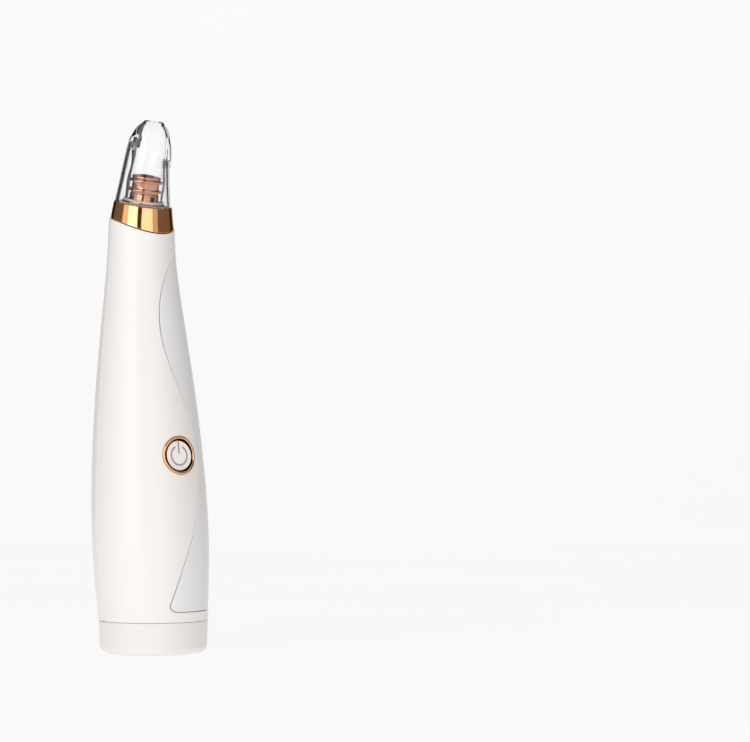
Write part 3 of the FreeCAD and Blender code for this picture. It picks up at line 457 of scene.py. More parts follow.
def circuit(name):
    """Solder mask over copper tracks, with bare pads in a fine pattern."""
    made = Nodes(name)
    brick = made.tree.nodes.new("ShaderNodeTexBrick")
    made.link(made.place, brick.inputs["Vector"])
    brick.inputs["Scale"].default_value = 260.0
    brick.inputs["Mortar Size"].default_value = 0.03
    brick.inputs["Color1"].default_value = (0.02, 0.16, 0.07, 1.0)
    brick.inputs["Color2"].default_value = (0.03, 0.20, 0.09, 1.0)
    brick.inputs["Mortar"].default_value = (0.05, 0.30, 0.13, 1.0)
    made.colour(brick.outputs["Color"])
    made.rough(made.spread(made.noise(400.0), 0.25, 0.4))
    made.bump(brick.outputs["Fac"], 0.15, 0.00004)
    made.set(Coat_Weight=0.3, Coat_Roughness=0.1)
    return made.material


plain_dark = plastic("cutter_dark", (0.02, 0.02, 0.02), 0.4, 0.6)
MATERIALS = {
    "clear_tip": clear_plastic("clear_tip"),
    "copper_plate": metal("copper_plate", (0.58, 0.29, 0.17), 0.06, 0.14, stretch=(1, 1, 14), bump=0.12,
                          edge=(0.45, 0.22, 0.15)),
    "gold_plate": metal("gold_plate", (0.90, 0.49, 0.23), 0.08, 0.13, bump=0.02, edge=(0.30, 0.13, 0.05)),
    "white_gloss": plastic("white_gloss", (0.905, 0.885, 0.872), 0.36, 0.42, bump=0.03, coat=0.08,
                           shift=0.012),
    "panel_satin": plastic("panel_satin", (0.86, 0.855, 0.86), 0.34, 0.42, bump=0.10, shift=0.015),
    "foot_satin": plastic("foot_satin", (0.87, 0.845, 0.815), 0.30, 0.38, bump=0.08, shift=0.02),
    # the button's material paints shade on the cap's flank
    "button_white": painted_shade_rimmed("button_white", (0.96, 0.955, 0.95), 0.22, 0.3),
    "icon_ink": plastic("icon_ink", (0.46, 0.34, 0.32), 0.45, 0.6, bump=0.1),
    "sponge": foam("sponge", (0.035, 0.035, 0.04)),
    "silicone": rubber("silicone", (0.86, 0.86, 0.84), 0.3, 0.45),
    "inner_plastic": plastic("inner_plastic", (0.78, 0.78, 0.77), 0.35, 0.5, bump=0.1),
    "pump_plastic": plastic("pump_plastic", (0.035, 0.035, 0.04), 0.4, 0.55, bump=0.15),
    "pump_rubber": rubber("pump_rubber", (0.03, 0.03, 0.03)),
    "steel": metal("steel", (0.62, 0.62, 0.63), 0.24, 0.4, stretch=(1, 1, 20)),
    "magnet": metal("magnet", (0.09, 0.09, 0.10), 0.5, 0.7, bump=0.2),
    "bronze": metal("bronze", (0.62, 0.43, 0.22), 0.35, 0.55, bump=0.2),
    "armature": metal("armature", (0.50, 0.24, 0.11), 0.3, 0.5, stretch=(1, 1, 30), bump=0.4),
    "cell_wrap": plastic("cell_wrap", (0.05, 0.20, 0.50), 0.2, 0.35, bump=0.1, coat=0.4),
    "board": circuit("board"),
    "chips": plastic("chips", (0.02, 0.02, 0.022), 0.45, 0.6, bump=0.3),
    "leads": rubber("leads", (0.55, 0.04, 0.03), 0.35, 0.5),
}

# ------------------------ barrel surface

barrel_radius = spline_through(RINGS[:, 0], RINGS[:, 1])
barrel_back = spline_through(RINGS[:, 0], RINGS[:, 2])


def barrel_place(azimuth, rise, depth=0.0):
    """Point under the barrel's surface and the outward normal. Azimuth runs from the front towards +X."""
    azimuth, rise = np.asarray(azimuth, float), np.asarray(rise, float)
    radius, back = barrel_radius(rise), barrel_back(rise)
    across, ahead = np.sin(azimuth), np.cos(azimuth)
    normal = np.stack([across, -ahead,
                       barrel_back(rise, slope=True) * ahead - barrel_radius(rise, slope=True)], -1)
    normal /= np.linalg.norm(normal, axis=-1, keepdims=True)
    point = np.stack([radius * across, back - radius * ahead, rise], -1)
    return point - normal * np.asarray(depth)[..., None], normal


def parting_azimuth(rise, shift):
    """Azimuth of the right-hand parting line, moved back by a shift."""
    low, high = PARTING_LOW, PARTING_HIGH
    back = low[1] + (rise - low[0]) * (high[1] - low[1]) / (high[0] - low[0]) + shift
    return np.arccos((barrel_back(rise) - back) / barrel_radius(rise))


def neck_rise(azimuth):
    """Height at which the barrel's surface meets the arched neck line."""
    rise = np.full_like(np.asarray(azimuth, float), 145.0)
    for _ in range(30):
        back = barrel_back(rise) - barrel_radius(rise) * np.cos(azimuth)
        rise = NECK_RISE + np.sqrt((NECK_RADIUS - SEAM) ** 2 - (back - NECK_BACK) ** 2)
    return rise


def panel_azimuth(across, rise):
    """Azimuth of a point that is so far across when seen square to the side panel."""
    reach = (across - barrel_back(rise) * math.sin(PANEL_TURN)) / barrel_radius(rise)
    return PANEL_TURN + np.arcsin(np.clip(reach, -1, 1))


def panel_front_edge(gap):
    """The side panel's front edge and rounded lower corner as (azimuth, rise), from the top down."""
    edge = np.array(PANEL_EDGE)
    along = np.concatenate([[0], np.cumsum(np.linalg.norm(np.diff(edge, axis=0), axis=1))])
    fine = np.linspace(0, along[-1], 190)
    across = spline_through(along, edge[:, 0])(fine) + gap
    rise = spline_through(along, edge[:, 1])(fine)
    azimuth = panel_azimuth(across, rise)
    keep = azimuth < parting_azimuth(rise, -HALF_GAP)
    edge = [(azimuth[number], rise[number]) for number in range(len(fine)) if keep[number]]
    corner = np.array((across[-1], PANEL_FOOT + gap))
    for part in np.linspace(0, 1, 9)[1:]:
        start, end = np.array((across[-1], rise[-1])), corner + (1.9, 0)
        spot = (1 - part) ** 2 * start + 2 * part * (1 - part) * corner + part ** 2 * end
        edge.append((float(panel_azimuth(spot[0], spot[1])), spot[1]))
    return edge


# ------------------------ curved plates

FLAT_SCALE = 16.0      # millimetres per radian in the flat pattern that plates are meshed in


def resampled(loop, spacing):
    """A closed loop of (azimuth, rise) as evenly spaced points."""
    loop = np.array(loop, float)
    flat = loop * (FLAT_SCALE, 1)
    closed = np.vstack([flat, flat[:1]])
    along = np.concatenate([[0], np.cumsum(np.linalg.norm(np.diff(closed, axis=0), axis=1))])
    count = int(along[-1] / spacing)
    fine = np.arange(count) * along[-1] / count
    return np.stack([np.interp(fine, along, closed[:, 0]), np.interp(fine, along, closed[:, 1])], -1)


def softened(flat, rounds):
    """Slightly rounds a loop's sharp corners."""
    for _ in range(rounds):
        flat = (np.roll(flat, 1, axis=0) + 2 * flat + np.roll(flat, -1, axis=0)) / 4
    return flat


def inward(flat):
    """Unit directions to the left of a loop, which is its inside."""
    ahead = np.roll(flat, -1, axis=0) - np.roll(flat, 1, axis=0)
    ahead /= np.linalg.norm(ahead, axis=1, keepdims=True)
    return np.stack([-ahead[:, 1], ahead[:, 0]], -1)


def inside(points, loops):
    """Which points lie inside an odd number of loops."""
    odd = np.zeros(len(points), bool)
    for loop in loops:
        after = np.roll(loop, -1, axis=0)
        for (x1, y1), (x2, y2) in zip(loop, after):
            crosses = (y1 > points[:, 1]) != (y2 > points[:, 1])
            if crosses.any():
                at = x1 + (points[:, 1] - y1) * (x2 - x1) / (y2 - y1 + 1e-12)
                odd ^= crosses & (points[:, 0] < at)
    return odd


def nearest(points, loops):
    """Distance of each point from the loops' points."""
    border = np.vstack(loops)
    return np.array([np.sqrt(((border - point) ** 2).sum(1).min()) for point in points])


def rim_rings(flat, place, scale, sink, depth, edge_round):
    """Rings of points and normals down a plate's rim, from the underside to the top, and the inset loop."""
    steps = 5
    side = inward(flat)
    edge, _ = place(flat[:, 0] / scale, flat[:, 1], sink)
    out = flat - side * 0.05
    lateral = place(out[:, 0] / scale, out[:, 1], sink)[0] - edge
    lateral /= np.linalg.norm(lateral, axis=1, keepdims=True)
    rings = []
    for step in range(steps + 1):                       # from the wall to the top face
        bend = math.pi / 2 * (1 - step / steps)
        moved = flat + side * edge_round * (1 - math.sin(bend))
        spot, up = place(moved[:, 0] / scale, moved[:, 1], sink + edge_round * (1 - math.cos(bend)))
        rings.append((spot, up * math.cos(bend) + lateral * math.sin(bend)))
    inset = flat + side * edge_round
    low, _ = place(flat[:, 0] / scale, flat[:, 1], depth - 0.1)
    bottom, bottom_up = place(inset[:, 0] / scale, inset[:, 1], depth)
    return [(bottom, -bottom_up), (low, rings[0][1])] + rings, inset


def filled(loops, grid):
    """Triangles over the flat area between loops, the grid points used, and each corner's source."""
    low, high = loops[0].min(0), loops[0].max(0)
    rows = np.arange(low[1], high[1], grid)
    seeds = np.array([(x + (grid / 2 if number % 2 else 0), y) for number, y in enumerate(rows)
                      for x in np.arange(low[0], high[0], grid)])
    seeds = seeds[inside(seeds, loops)]
    seeds = seeds[nearest(seeds, loops) > 0.6 * grid] if len(seeds) else seeds.reshape(-1, 2)
    edges, start = [], 0
    for loop in loops:
        edges += [(start + number, start + (number + 1) % len(loop)) for number in range(len(loop))]
        start += len(loop)
    flat_points = [Vector(point) for point in np.vstack(loops + [seeds])]
    spots, _, triangles, sources = delaunay_2d_cdt(flat_points, edges, [], 0, 1e-6)[:4]
    triangles = np.array(triangles)
    middles = np.array([tuple(spot) for spot in spots])[triangles].mean(1)
    return triangles[inside(middles, loops)], seeds, [source[0] for source in sources]


def plate(name, loops, material, sink, depth, edge_round, grid, place=barrel_place, scale=FLAT_SCALE):
    """Closed plate on a curved surface, with rounded rims. The first loop is the outline, the rest holes."""
    layers, normals, faces, insets, shared, offset = [], [], [], [], [], 0
    for flat in loops:
        rings, inset = rim_rings(flat, place, scale, sink, depth, edge_round)
        insets.append(inset)
        count = len(flat)
        for number, (spot, normal) in enumerate(rings):
            layers.append(spot)
            normals.append(normal)
            if number:
                here, below = offset + number * count, offset + (number - 1) * count
                faces += [(below + step, below + (step + 1) % count, here + (step + 1) % count, here + step)
                          for step in range(count)]
        top = offset + (len(rings) - 1) * count
        shared += [(top + number, offset + number) for number in range(count)]
        offset += len(rings) * count

    triangles, seeds, sources = filled(insets, grid)
    seed_top, seed_up = place(seeds[:, 0] / scale, seeds[:, 1], sink)
    seed_low, _ = place(seeds[:, 0] / scale, seeds[:, 1], depth)
    layers += [seed_top, seed_low]
    normals += [seed_up, -seed_up]
    shared += [(offset + number, offset + len(seeds) + number) for number in range(len(seeds))]
    for triangle in triangles:
        corners = [shared[sources[corner]] for corner in triangle]
        faces.append(tuple(corner[0] for corner in corners))
        faces.append(tuple(corner[1] for corner in reversed(corners)))
    return make_object(name, np.vstack(layers), faces, material, np.vstack(normals))


def joined(name, *items):
    """One object from several."""
    target = items[0]
    with bpy.context.temp_override(active_object=target, selected_editable_objects=list(items)):
        bpy.ops.object.join()
    target.name = name
    return target


# ------------------------ button place


def button_surface(radius, angle):
    """Height of the barrel's surface above the button's plane, at a radius and angle round its axis."""
    radius, angle = np.broadcast_arrays(np.asarray(radius, float), np.asarray(angle, float))
    base = BUTTON + np.stack([radius * np.cos(angle), *(0 * radius,) * 2], -1) \
        + (radius * np.sin(angle))[..., None] * BUTTON_UP
    height = np.zeros_like(radius)
    for _ in range(12):
        spot = base + height[..., None] * BUTTON_AXIS
        gap = np.hypot(spot[..., 0], spot[..., 1] - barrel_back(spot[..., 2])) - barrel_radius(spot[..., 2])
        height = height - gap
    return height


def on_button(radius, angle, height):
    """Point at a height above the button's plane."""
    radius, angle, height = np.broadcast_arrays(*(np.asarray(v, float) for v in (radius, angle, height)))
    x, y = radius * np.cos(angle), radius * np.sin(angle)
    cosine, sine = math.cos(BUTTON_TILT), math.sin(BUTTON_TILT)
    return BUTTON + np.stack([x, y * sine - height * cosine, y * cosine + height * sine], -1)


# ------------------------ shells and panel


def loop_around_button(gap):
    """Hole for the bezel in the front shell, clockwise, as flat-pattern points."""
    loop = []
    radius = BEZEL_OUT + gap
    for angle in -angles(120):
        spot = on_button(radius, angle, button_surface(radius, angle))
        rise = spot[2]
        azimuth = math.atan2(spot[0], -(spot[1] - barrel_back(rise)))
        loop.append((azimuth * FLAT_SCALE, rise))
    return np.array(loop)


def parting_line(rises, shift):
    """Points of the right-hand parting line at these rises, moved back by a shift."""
    return [(float(parting_azimuth(rise, shift)), rise) for rise in rises]


def neck_line(start, end, count):
    """Points of the arched neck line between two azimuths."""
    return [(turn, float(neck_rise(np.array([turn]))[0])) for turn in np.linspace(start, end, count)]


def make_front_shell(foot, top):
    white, shift, hole = MATERIALS["white_gloss"], -HALF_GAP, loop_around_button(BEZEL_GAP)
    top_turn = float(parting_azimuth(top, shift))
    neck = neck_line(top_turn, -top_turn, 90)
    left = [(-turn, rise) for turn, rise in parting_line(np.linspace(top, foot, 120), shift)]
    sill = [(turn, foot) for turn in np.linspace(left[-1][0], -left[-1][0], 60)]
    edge = panel_front_edge(0)
    outline = sill + parting_line(np.linspace(foot, PANEL_FOOT, 6)[1:], shift) + edge[::-1]
    outline += parting_line(np.linspace(edge[0][1], top, 20)[1:-1], shift) + neck + left[1:-1]
    outer = plate("front_shell_outer", [softened(resampled(outline, 0.55), 2), hole], white, 0.0,
                  OUTER_DEPTH, 0.25, 1.6)
    full = sill + parting_line(np.linspace(foot, top, 120)[1:], shift) + neck[1:] + left[1:-1]
    liner = plate("front_shell_liner", [softened(resampled(full, 0.9), 2), hole], white, LINER_TOP, WALL,
                  0.12, 2.4)
    stand_for(joined("front_shell_skin", outer, liner), "housing", "white_gloss", "front_shell")


def make_rear_shell(foot, top):
    right = parting_line(np.linspace(top, foot, 120), HALF_GAP)
    left = [(2 * math.pi - turn, rise) for turn, rise in reversed(right)]
    outline = [(turn, foot) for turn in np.linspace(right[-1][0], left[0][0], 60)]
    outline += left[1:] + neck_line(left[-1][0], right[0][0], 60)[1:] + right[1:-1]
    wall = plate("rear_shell_outer", [softened(resampled(outline, 0.55), 2)], MATERIALS["white_gloss"], 0.0,
                 WALL, 0.22, 1.6)
    ribs = [cradle_rib(number) for number in range(2)]
    stand_for(joined("rear_shell_wall", wall, *ribs), "housing", "white_gloss", "rear_shell")


def make_side_panel():
    edge = panel_front_edge(PANEL_GAP)
    foot = PANEL_FOOT + PANEL_GAP
    outline = edge[::-1] + parting_line(np.linspace(edge[0][1], foot, 130)[1:], -HALF_GAP)
    outline += [(turn, foot) for turn in np.linspace(outline[-1][0], edge[-1][0], 40)[1:-1]]
    panel = softened(resampled(outline[::-1], 0.55), 2)
    if signed_area(panel) < 0:
        panel = panel[::-1]
    skin = plate("side_panel_skin", [panel], MATERIALS["panel_satin"], PANEL_SINK, PANEL_DEPTH, 0.2, 1.6)
    stand_for(skin, "housing", "panel_satin", "side_panel")


def make_shells():
    """Two shells that part along a slanting line up to the neck, and the panel let into the front one."""
    foot = FOOT_RISE + SEAM
    top = neck_rise(np.array([parting_azimuth(144.0, -HALF_GAP)]))[0]
    make_front_shell(foot, top)
    make_rear_shell(foot, top)
    make_side_panel()


def cradle_rib(number):
    """Crescent rib inside the back of the barrel, bored for the motor's rubber sleeve."""
    low = CRADLE_LOW + CRADLE_STEP * number
    high = low + CRADLE_THICK
    edge_turn = math.asin((CRADLE_FRONT - CRADLE_BACK) / CRADLE_BORE)
    turns = np.linspace(edge_turn, math.pi - edge_turn, 49)
    columns = []
    for turn in turns:
        across, back = CRADLE_BORE * math.cos(turn), CRADLE_BACK + CRADLE_BORE * math.sin(turn)
        column = [(across, back, low), (across, back, high)]
        for rise in (high, low):
            radius, centre = float(barrel_radius(rise)) - WALL + CRADLE_BITE, float(barrel_back(rise))
            limit = math.asin((CRADLE_FRONT - centre) / radius)
            outer_turn = limit + (turn - edge_turn) * (math.pi - 2 * limit) / (math.pi - 2 * edge_turn)
            column.append((radius * math.cos(outer_turn), centre + radius * math.sin(outer_turn), rise))
        columns.append(column)
    points = np.array(columns).reshape(-1, 3)
    last = 4 * (len(turns) - 1)
    faces = [(0, 1, 2, 3), (last + 3, last + 2, last + 1, last)]
    for step in range(0, last, 4):
        faces += [(step + row, step + 4 + row, step + 4 + (row + 1) % 4, step + (row + 1) % 4)
                  for row in range(4)]
    return make_object(f"cradle_rib_{number}", points, faces, MATERIALS["white_gloss"])


def signed_area(loop):
    after = np.roll(loop, -1, axis=0)
    return 0.5 * float((loop[:, 0] * after[:, 1] - after[:, 0] * loop[:, 1]).sum())


def foot_profile():
    """From the underside up the outside, over the rim, and up and down inside the spigot."""
    bend = arc_points(FOOT_RADIUS - FOOT_BEND, FOOT_BEND, FOOT_BEND, -math.pi / 2, 0, 14)
    wall = [(FOOT_RADIUS + (FOOT_RIM - FOOT_RADIUS) * part,
             FOOT_BEND + part * (FOOT_RISE - FOOT_BEND - FOOT_EDGE)) for part in np.linspace(0, 1, 8)[1:]]
    rim = arc_points(FOOT_RIM - FOOT_EDGE, FOOT_RISE - FOOT_EDGE, FOOT_EDGE, 0, math.pi / 2, 5)[1:]
    inner = rounded([(FOOT_SPIGOT, FOOT_RISE), (FOOT_SPIGOT, SPIGOT_RISE), (FOOT_BORE, SPIGOT_RISE),
                     (FOOT_BORE, FOOT_FLOOR)], 0.15, 3)[4:]
    step = [(FOOT_SPIGOT + 0.2, FOOT_RISE), (FOOT_SPIGOT, FOOT_RISE + 0.1)]
    return [(6.0, 0.0), (12.0, 0.0)] + bend + wall + rim + step + inner + [(8.0, FOOT_FLOOR)]


def port_outline():
    """Opening for the charging port, with its four corners cut off."""
    low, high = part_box("usb_socket")
    across = high.x / MM + PORT_PLAY
    middle = (low.y + high.y) / 2 / MM
    return [(across * side + PORT_CORNER * in_x, middle + PORT_HALF * way + PORT_CORNER * in_y)
            for side, way, in_x, in_y in ((1, -1, -1, 0), (1, -1, 0, 1), (1, 1, 0, -1), (1, 1, -1, 0),
                                          (-1, 1, 1, 0), (-1, 1, 0, -1), (-1, -1, 0, 1), (-1, -1, 1, 0))]


def make_foot():
    columns = lathe(foot_profile())
    columns[..., 1] += FOOT_BACK * np.clip(columns[..., 2] / FOOT_RISE, 0, 1)
    foot = swept("base_cap_body", columns, MATERIALS["foot_satin"], ((0, 0, 0), (0, 0, FOOT_FLOOR)),
                 math.radians(30))
    below, above = -1, FOOT_FLOOR + 1
    cutters = [solid_prism("mouth_cutter", port_outline(), below, above)]
    for side in (-1, 1):
        spot = SCREW_ACROSS * side, SCREW_BACK
        cutters.append(solid_prism("sink_cutter", circle_outline(*spot, SCREW_SINK), below, SINK_RISE))
        cutters.append(solid_prism("hole_cutter", circle_outline(*spot, SCREW_HOLE), SINK_RISE - 0.2, above))
    for turn in range(-2, 3):
        angle = math.radians(90 + VENT_STEP * turn)
        vent = circle_outline(VENT_CIRCLE * math.cos(angle), VENT_CIRCLE * math.sin(angle), VENT_RADIUS)
        cutters.append(solid_prism("vent_cutter", vent, below, above))
    subtract(foot, cutters)
    stand_for(foot, "housing", "foot_satin", "base_cap")


# ------------------------ head


def make_collar():
    """Leaning ring whose lower edge follows the arched neck line."""
    radius, back, rise, lean = (spline_through(COLLAR_KNOTS, COLLAR_RINGS[:, column]) for column in range(4))

    def outer(part, angle):
        size, tilt = radius(part), lean(part)
        x, y = size * math.cos(angle), size * math.sin(angle)
        return np.stack([x, back(part) + y * np.cos(tilt), rise(part) + y * np.sin(tilt)], -1)

    def inside_neck(part):
        spot = outer(part, angle)
        return math.hypot(spot[1] - NECK_BACK, spot[2] - NECK_RISE) < NECK_RADIUS

    columns = []
    for angle in angles():
        wall = outer(np.linspace(last_true(0.0, 1.0, inside_neck), 1.0, 22), angle)
        crown = on_head([(COLLAR_BORE * math.cos(angle), COLLAR_BORE * math.sin(angle), 0.0)])[0]
        deep = wall[0] + (crown - wall[-1])
        columns.append(np.vstack([wall, crown[None], deep[None]]))
    collar = swept("collar_ring_plated", columns, MATERIALS["gold_plate"], sharp=math.radians(35))
    add_bevel(collar, 0.22, 4, 35)
    stand_for(collar, "housing", "gold_plate", "collar_ring")


def girth(rings):
    """Radius from the tip's axis at a rise and angle; the angle is measured from the high side."""
    sizes, offsets = (spline_through(rings[:, 2], rings[:, column]) for column in (0, 1))

    def reach(at, angle, thin=0.0):
        size, off = sizes(at) - thin, offsets(at)
        return off * math.cos(angle) + np.sqrt(size ** 2 - (off * math.sin(angle)) ** 2)

    return reach


def shoulder_at(reach, angle):
    """Rise where a surface meets the arched shoulder line."""
    level = 17.0
    for _ in range(40):
        back = float(reach(level, angle)) * math.cos(angle) - SHOULDER_BACK
        level = 0.5 * (level + SHOULDER_RISE - math.sqrt(SHOULDER_ARC ** 2 - back ** 2))
    return level


def make_tip():
    """Skirt and bulb outside, round the mouth, down the chamber and up between tube and skirt."""
    skirt, bulb = girth(SKIRT_RINGS), girth(BULB_RINGS)
    chamber, tube = (spline_through(rings[:, 1], rings[:, 0]) for rings in (CHAMBER_RINGS, TUBE_RINGS))
    columns = []
    for angle in angles():
        ridge, shelf = shoulder_at(skirt, angle), shoulder_at(bulb, angle)
        closing = last_true(9.0, 22.5, lambda at: skirt(at, angle, TIP_WALL) > tube(at))
        profile = [(float(skirt(at, angle)), at) for at in np.linspace(0, ridge, 26)]
        profile += [(float(bulb(at, angle)), at) for at in np.linspace(shelf, TIP_LENGTH, 34)]
        profile += [(MOUTH_RADIUS, TIP_LENGTH)]
        profile += [(float(chamber(at)), at) for at in np.linspace(TIP_LENGTH - MOUTH_DEPTH, TUBE_FOOT, 34)]
        profile += [(float(tube(at)), at) for at in np.linspace(TUBE_FOOT, closing, 30)]
        profile += [(float(skirt(at, angle, TIP_WALL)), at) for at in np.linspace(closing, 0, 18)[1:]]
        turned = math.pi / 2 + angle + TIP_TURN
        local = [(size * math.cos(turned), size * math.sin(turned), at) for size, at in profile]
        columns.append(on_head(local))
    tip = swept("suction_tip_clear", columns, MATERIALS["clear_tip"], sharp=math.radians(28))
    add_bevel(tip, 0.16, 3, 28)
    stand_for(tip, "tip", "clear_tip", "suction_tip")


def make_nozzle():
    """Stem, flange and grooved neck with two ribs, cut through by two crossing windows."""
    corners = [(NOZZLE_BORE, -STEM_DEPTH), (STEM_RADIUS, -STEM_DEPTH), (STEM_RADIUS, FLANGE_LOW),
               (FLANGE_RADIUS, FLANGE_LOW), (FLANGE_RADIUS, FLANGE_HIGH), (NOZZLE_RADIUS, FLANGE_HIGH),
               (NOZZLE_RADIUS, GROOVE_START[0]), (GROOVE_RADIUS, GROOVE_START[1])]
    for low in RIB_LOWS:
        corners += [(GROOVE_RADIUS, low), (RIB_RADIUS, low + RIB_TAPER),
                    (RIB_RADIUS, low + RIB_RISE - RIB_TAPER), (GROOVE_RADIUS, low + RIB_RISE)]
    corners += [(GROOVE_RADIUS, GROOVE_END[0]), (NOZZLE_RADIUS, GROOVE_END[1]), (NOZZLE_RADIUS, NOZZLE_TOP),
                (NOZZLE_BORE, NOZZLE_TOP)]
    nozzle = swept("suction_nozzle_ribbed", lathe(rounded(corners, 0.14, 3)), MATERIALS["copper_plate"])
    window = [(WINDOW_REACH * x, WINDOW_HALF * y) for x, y in ((-1, -1), (1, -1), (1, 1), (-1, 1))]
    subtract(nozzle, [solid_prism("window_across", window, WINDOW_LOW, WINDOW_HIGH),
                      solid_prism("window_along", [(y, -x) for x, y in window], WINDOW_LOW, WINDOW_HIGH)])
    lifted = on_head(np.array([vertex.co / MM for vertex in nozzle.data.vertices])) * MM
    nozzle.data.vertices.foreach_set("co", lifted.ravel())
    nozzle.data.update()
    stand_for(nozzle, "housing", "copper_plate", "suction_nozzle")


def make_sponge():
    """Plug with a domed top and a slightly rough surface."""
    random = np.random.default_rng(7)
    rows = [(SPONGE_RADIUS - 0.03, SPONGE_LOW)]
    rows += [(SPONGE_RADIUS, rise) for rise in np.linspace(3.6, 9.6, 22)]
    rows += [(2.2, 9.72), (1.9, 9.86), (1.5, 9.92), (1.0, SPONGE_TOP), (0.5, SPONGE_TOP)]
    columns = lathe(rows, 64)
    columns[:, 1:-1] += random.normal(0, SPONGE_GRAIN, columns[:, 1:-1].shape) * (1, 1, 0.6)
    sponge = swept("filter_sponge_cells", on_head(columns), MATERIALS["sponge"],
                   (on_head((0, 0, SPONGE_LOW)), on_head((0, 0, SPONGE_TOP))), math.radians(80))
    stand_for(sponge, "housing", "sponge", "filter_sponge")


# ------------------------ button


def make_bezel():
    """Ring with a round crest that follows the barrel's surface."""
    middle, half = 0.5 * (BEZEL_IN + BEZEL_OUT), 0.5 * (BEZEL_OUT - BEZEL_IN)
    columns = []
    for angle in angles():
        level = float(button_surface(middle, angle))
        profile = [(BEZEL_OUT, level - BEZEL_LOW), (BEZEL_OUT, level - BEZEL_HIGH)]
        profile += arc_points(middle, level + BEZEL_PROUD - half, half, 0, math.pi, 17)
        profile += [(BEZEL_IN, level - BEZEL_HIGH), (BEZEL_IN, level - BEZEL_LOW)]
        columns.append([on_button(size, angle, height) for size, height in profile])
    bezel = swept("button_bezel_plated", columns, MATERIALS["gold_plate"])
    stand_for(bezel, "housing", "gold_plate", "button_bezel")


def make_cap():
    """Flat face with a rounded edge, straight flank, and the lip and stem under it."""
    profile = [(size, -CAP_DROP) for size in np.linspace(0.4, CAP_RADIUS - CAP_ROUND, 16)]
    profile += arc_points(CAP_RADIUS - CAP_ROUND, -CAP_DROP - CAP_ROUND, CAP_ROUND, math.pi / 2, 0, 7)[1:]
    profile += CAP_STEM
    columns = [[on_button(size, angle, height) for size, height in profile] for angle in angles()]
    cap = swept("power_button_cap", columns, MATERIALS["button_white"],
                (on_button(0, 0, -CAP_DROP), on_button(0, 0, CAP_STEM[-1][1])))
    stand_for(cap, "button", "button_white", "power_button")


def cap_place(across, up, depth):
    """Point and normal on the cap, from flat places round the button's axis."""
    spot = on_button(np.hypot(across, up), np.arctan2(up, across), -np.asarray(depth))
    return spot, np.broadcast_to(BUTTON_AXIS, spot.shape)


def make_icon():
    """Open ring with a bar in its gap, standing slightly proud of the cap."""
    line, turns = ICON_LINE, np.linspace(math.pi / 2 + ICON_GAP, math.pi * 2.5 - ICON_GAP, 110)
    outer = [((ICON_RADIUS + line) * math.cos(turn), (ICON_RADIUS + line) * math.sin(turn)) for turn in turns]
    inner = [((ICON_RADIUS - line) * math.cos(turn), (ICON_RADIUS - line) * math.sin(turn))
             for turn in turns[::-1]]
    ring = outer + stroke_end(turns[-1], 1) + inner + stroke_end(turns[0], -1)
    bar = arc_points(0, ICON_BAR_HIGH - line, line, 0, math.pi, 9)
    bar += arc_points(0, ICON_BAR_LOW + line, line, math.pi, 2 * math.pi, 9)
    marks = [plate(f"icon_part_{number}", [np.array(loop)], MATERIALS["icon_ink"], CAP_DROP - ICON_PROUD,
                   CAP_DROP + ICON_DEPTH, 0.04, 0.2, cap_place, 1.0)
             for number, loop in enumerate((ring, bar))]
    stand_for(joined("button_icon_mark", *marks), "button", "icon_ink", "button_icon")


def stroke_end(turn, way):
    """Points that round off an end of the icon's ring."""
    points = []
    for step in np.linspace(0, math.pi, 7)[1:-1]:
        reach = ICON_RADIUS + ICON_LINE * math.cos(step) * way
        ahead = ICON_LINE * math.sin(step) * way
        points.append((reach * math.cos(turn) - ahead * math.sin(turn),
                       reach * math.sin(turn) + ahead * math.cos(turn)))
    return points


# ------------------------ carried-over CAD nodes


def finish_nodes():
    """Every CAD node that stays in view gets its slot's material and smooth round faces."""
    for entry in frame["record"]["subparts"]:
        item = nodes[entry["node"]]
        item.data.materials.clear()
        item.data.materials.append(MATERIALS[entry["material_slot"]])
        item.data.shade_smooth()
        item.data.set_sharp_from_angle(angle=math.radians(30))


# ------------------------ stage, light and camera

VIEW_AZIMUTH = math.radians(35.6)
AWAY = np.array((math.sin(VIEW_AZIMUTH), math.cos(VIEW_AZIMUTH), 0.0))      # from the camera into the picture
RIGHT = np.array((math.cos(VIEW_AZIMUTH), -math.sin(VIEW_AZIMUTH), 0.0))
CAMERA_REACH = 0.95
CAMERA_RISE = 0.080
CAMERA_YAW = math.radians(4.52)       # the object stands left of the middle of the picture
CAMERA_PITCH = math.radians(0.916)
LENS = 134.2

# sheets and cards stand at (ahead, side) places in metres, as the camera looks at them
SHEET_NEAR, SHEET_FAR, SHEET_BEND, SHEET_HIGH, SHEET_GLOW = -2.5, 1.3, 0.4, 1.6, 0.89
FLOOR_HALF, BACK_LEFT, BACK_RIGHT = 2.5, -0.40, 0.74
CEILING_RISE, CEILING_GLOW = 1.5, 0.6
CARD_HIGH = 0.9
CARDS = {"card_left": [(1.28, -0.41), (0.78, -0.90)], "card_right": [(1.25, 0.76), (0.8, 1.0)],
         "card_front": [(-1.26, -0.315), (-1.3, -0.03)]}

LAMP_RISE, LAMP_TALL = 0.42, 0.85
LAMPS = [  # name, turn from the camera in degrees, distance, width, watts, colour
    ("softbox_left", -34, 1.0, 0.65, 4.3, (1.0, 0.99, 0.98)),
    ("softbox_far_left", -64, 1.0, 0.42, 1.0, (1.0, 0.94, 0.89)),
    ("softbox_right", 21, 1.15, 0.86, 3.4, (1.0, 1.0, 1.0)),
    ("softbox_far_right", 52, 1.15, 0.40, 0.55, (1.0, 1.0, 1.0)),
]
WORLD_COLOUR, WORLD_SEEN = (0.19, 0.165, 0.15, 1.0), (0.94, 0.94, 0.94, 1.0)


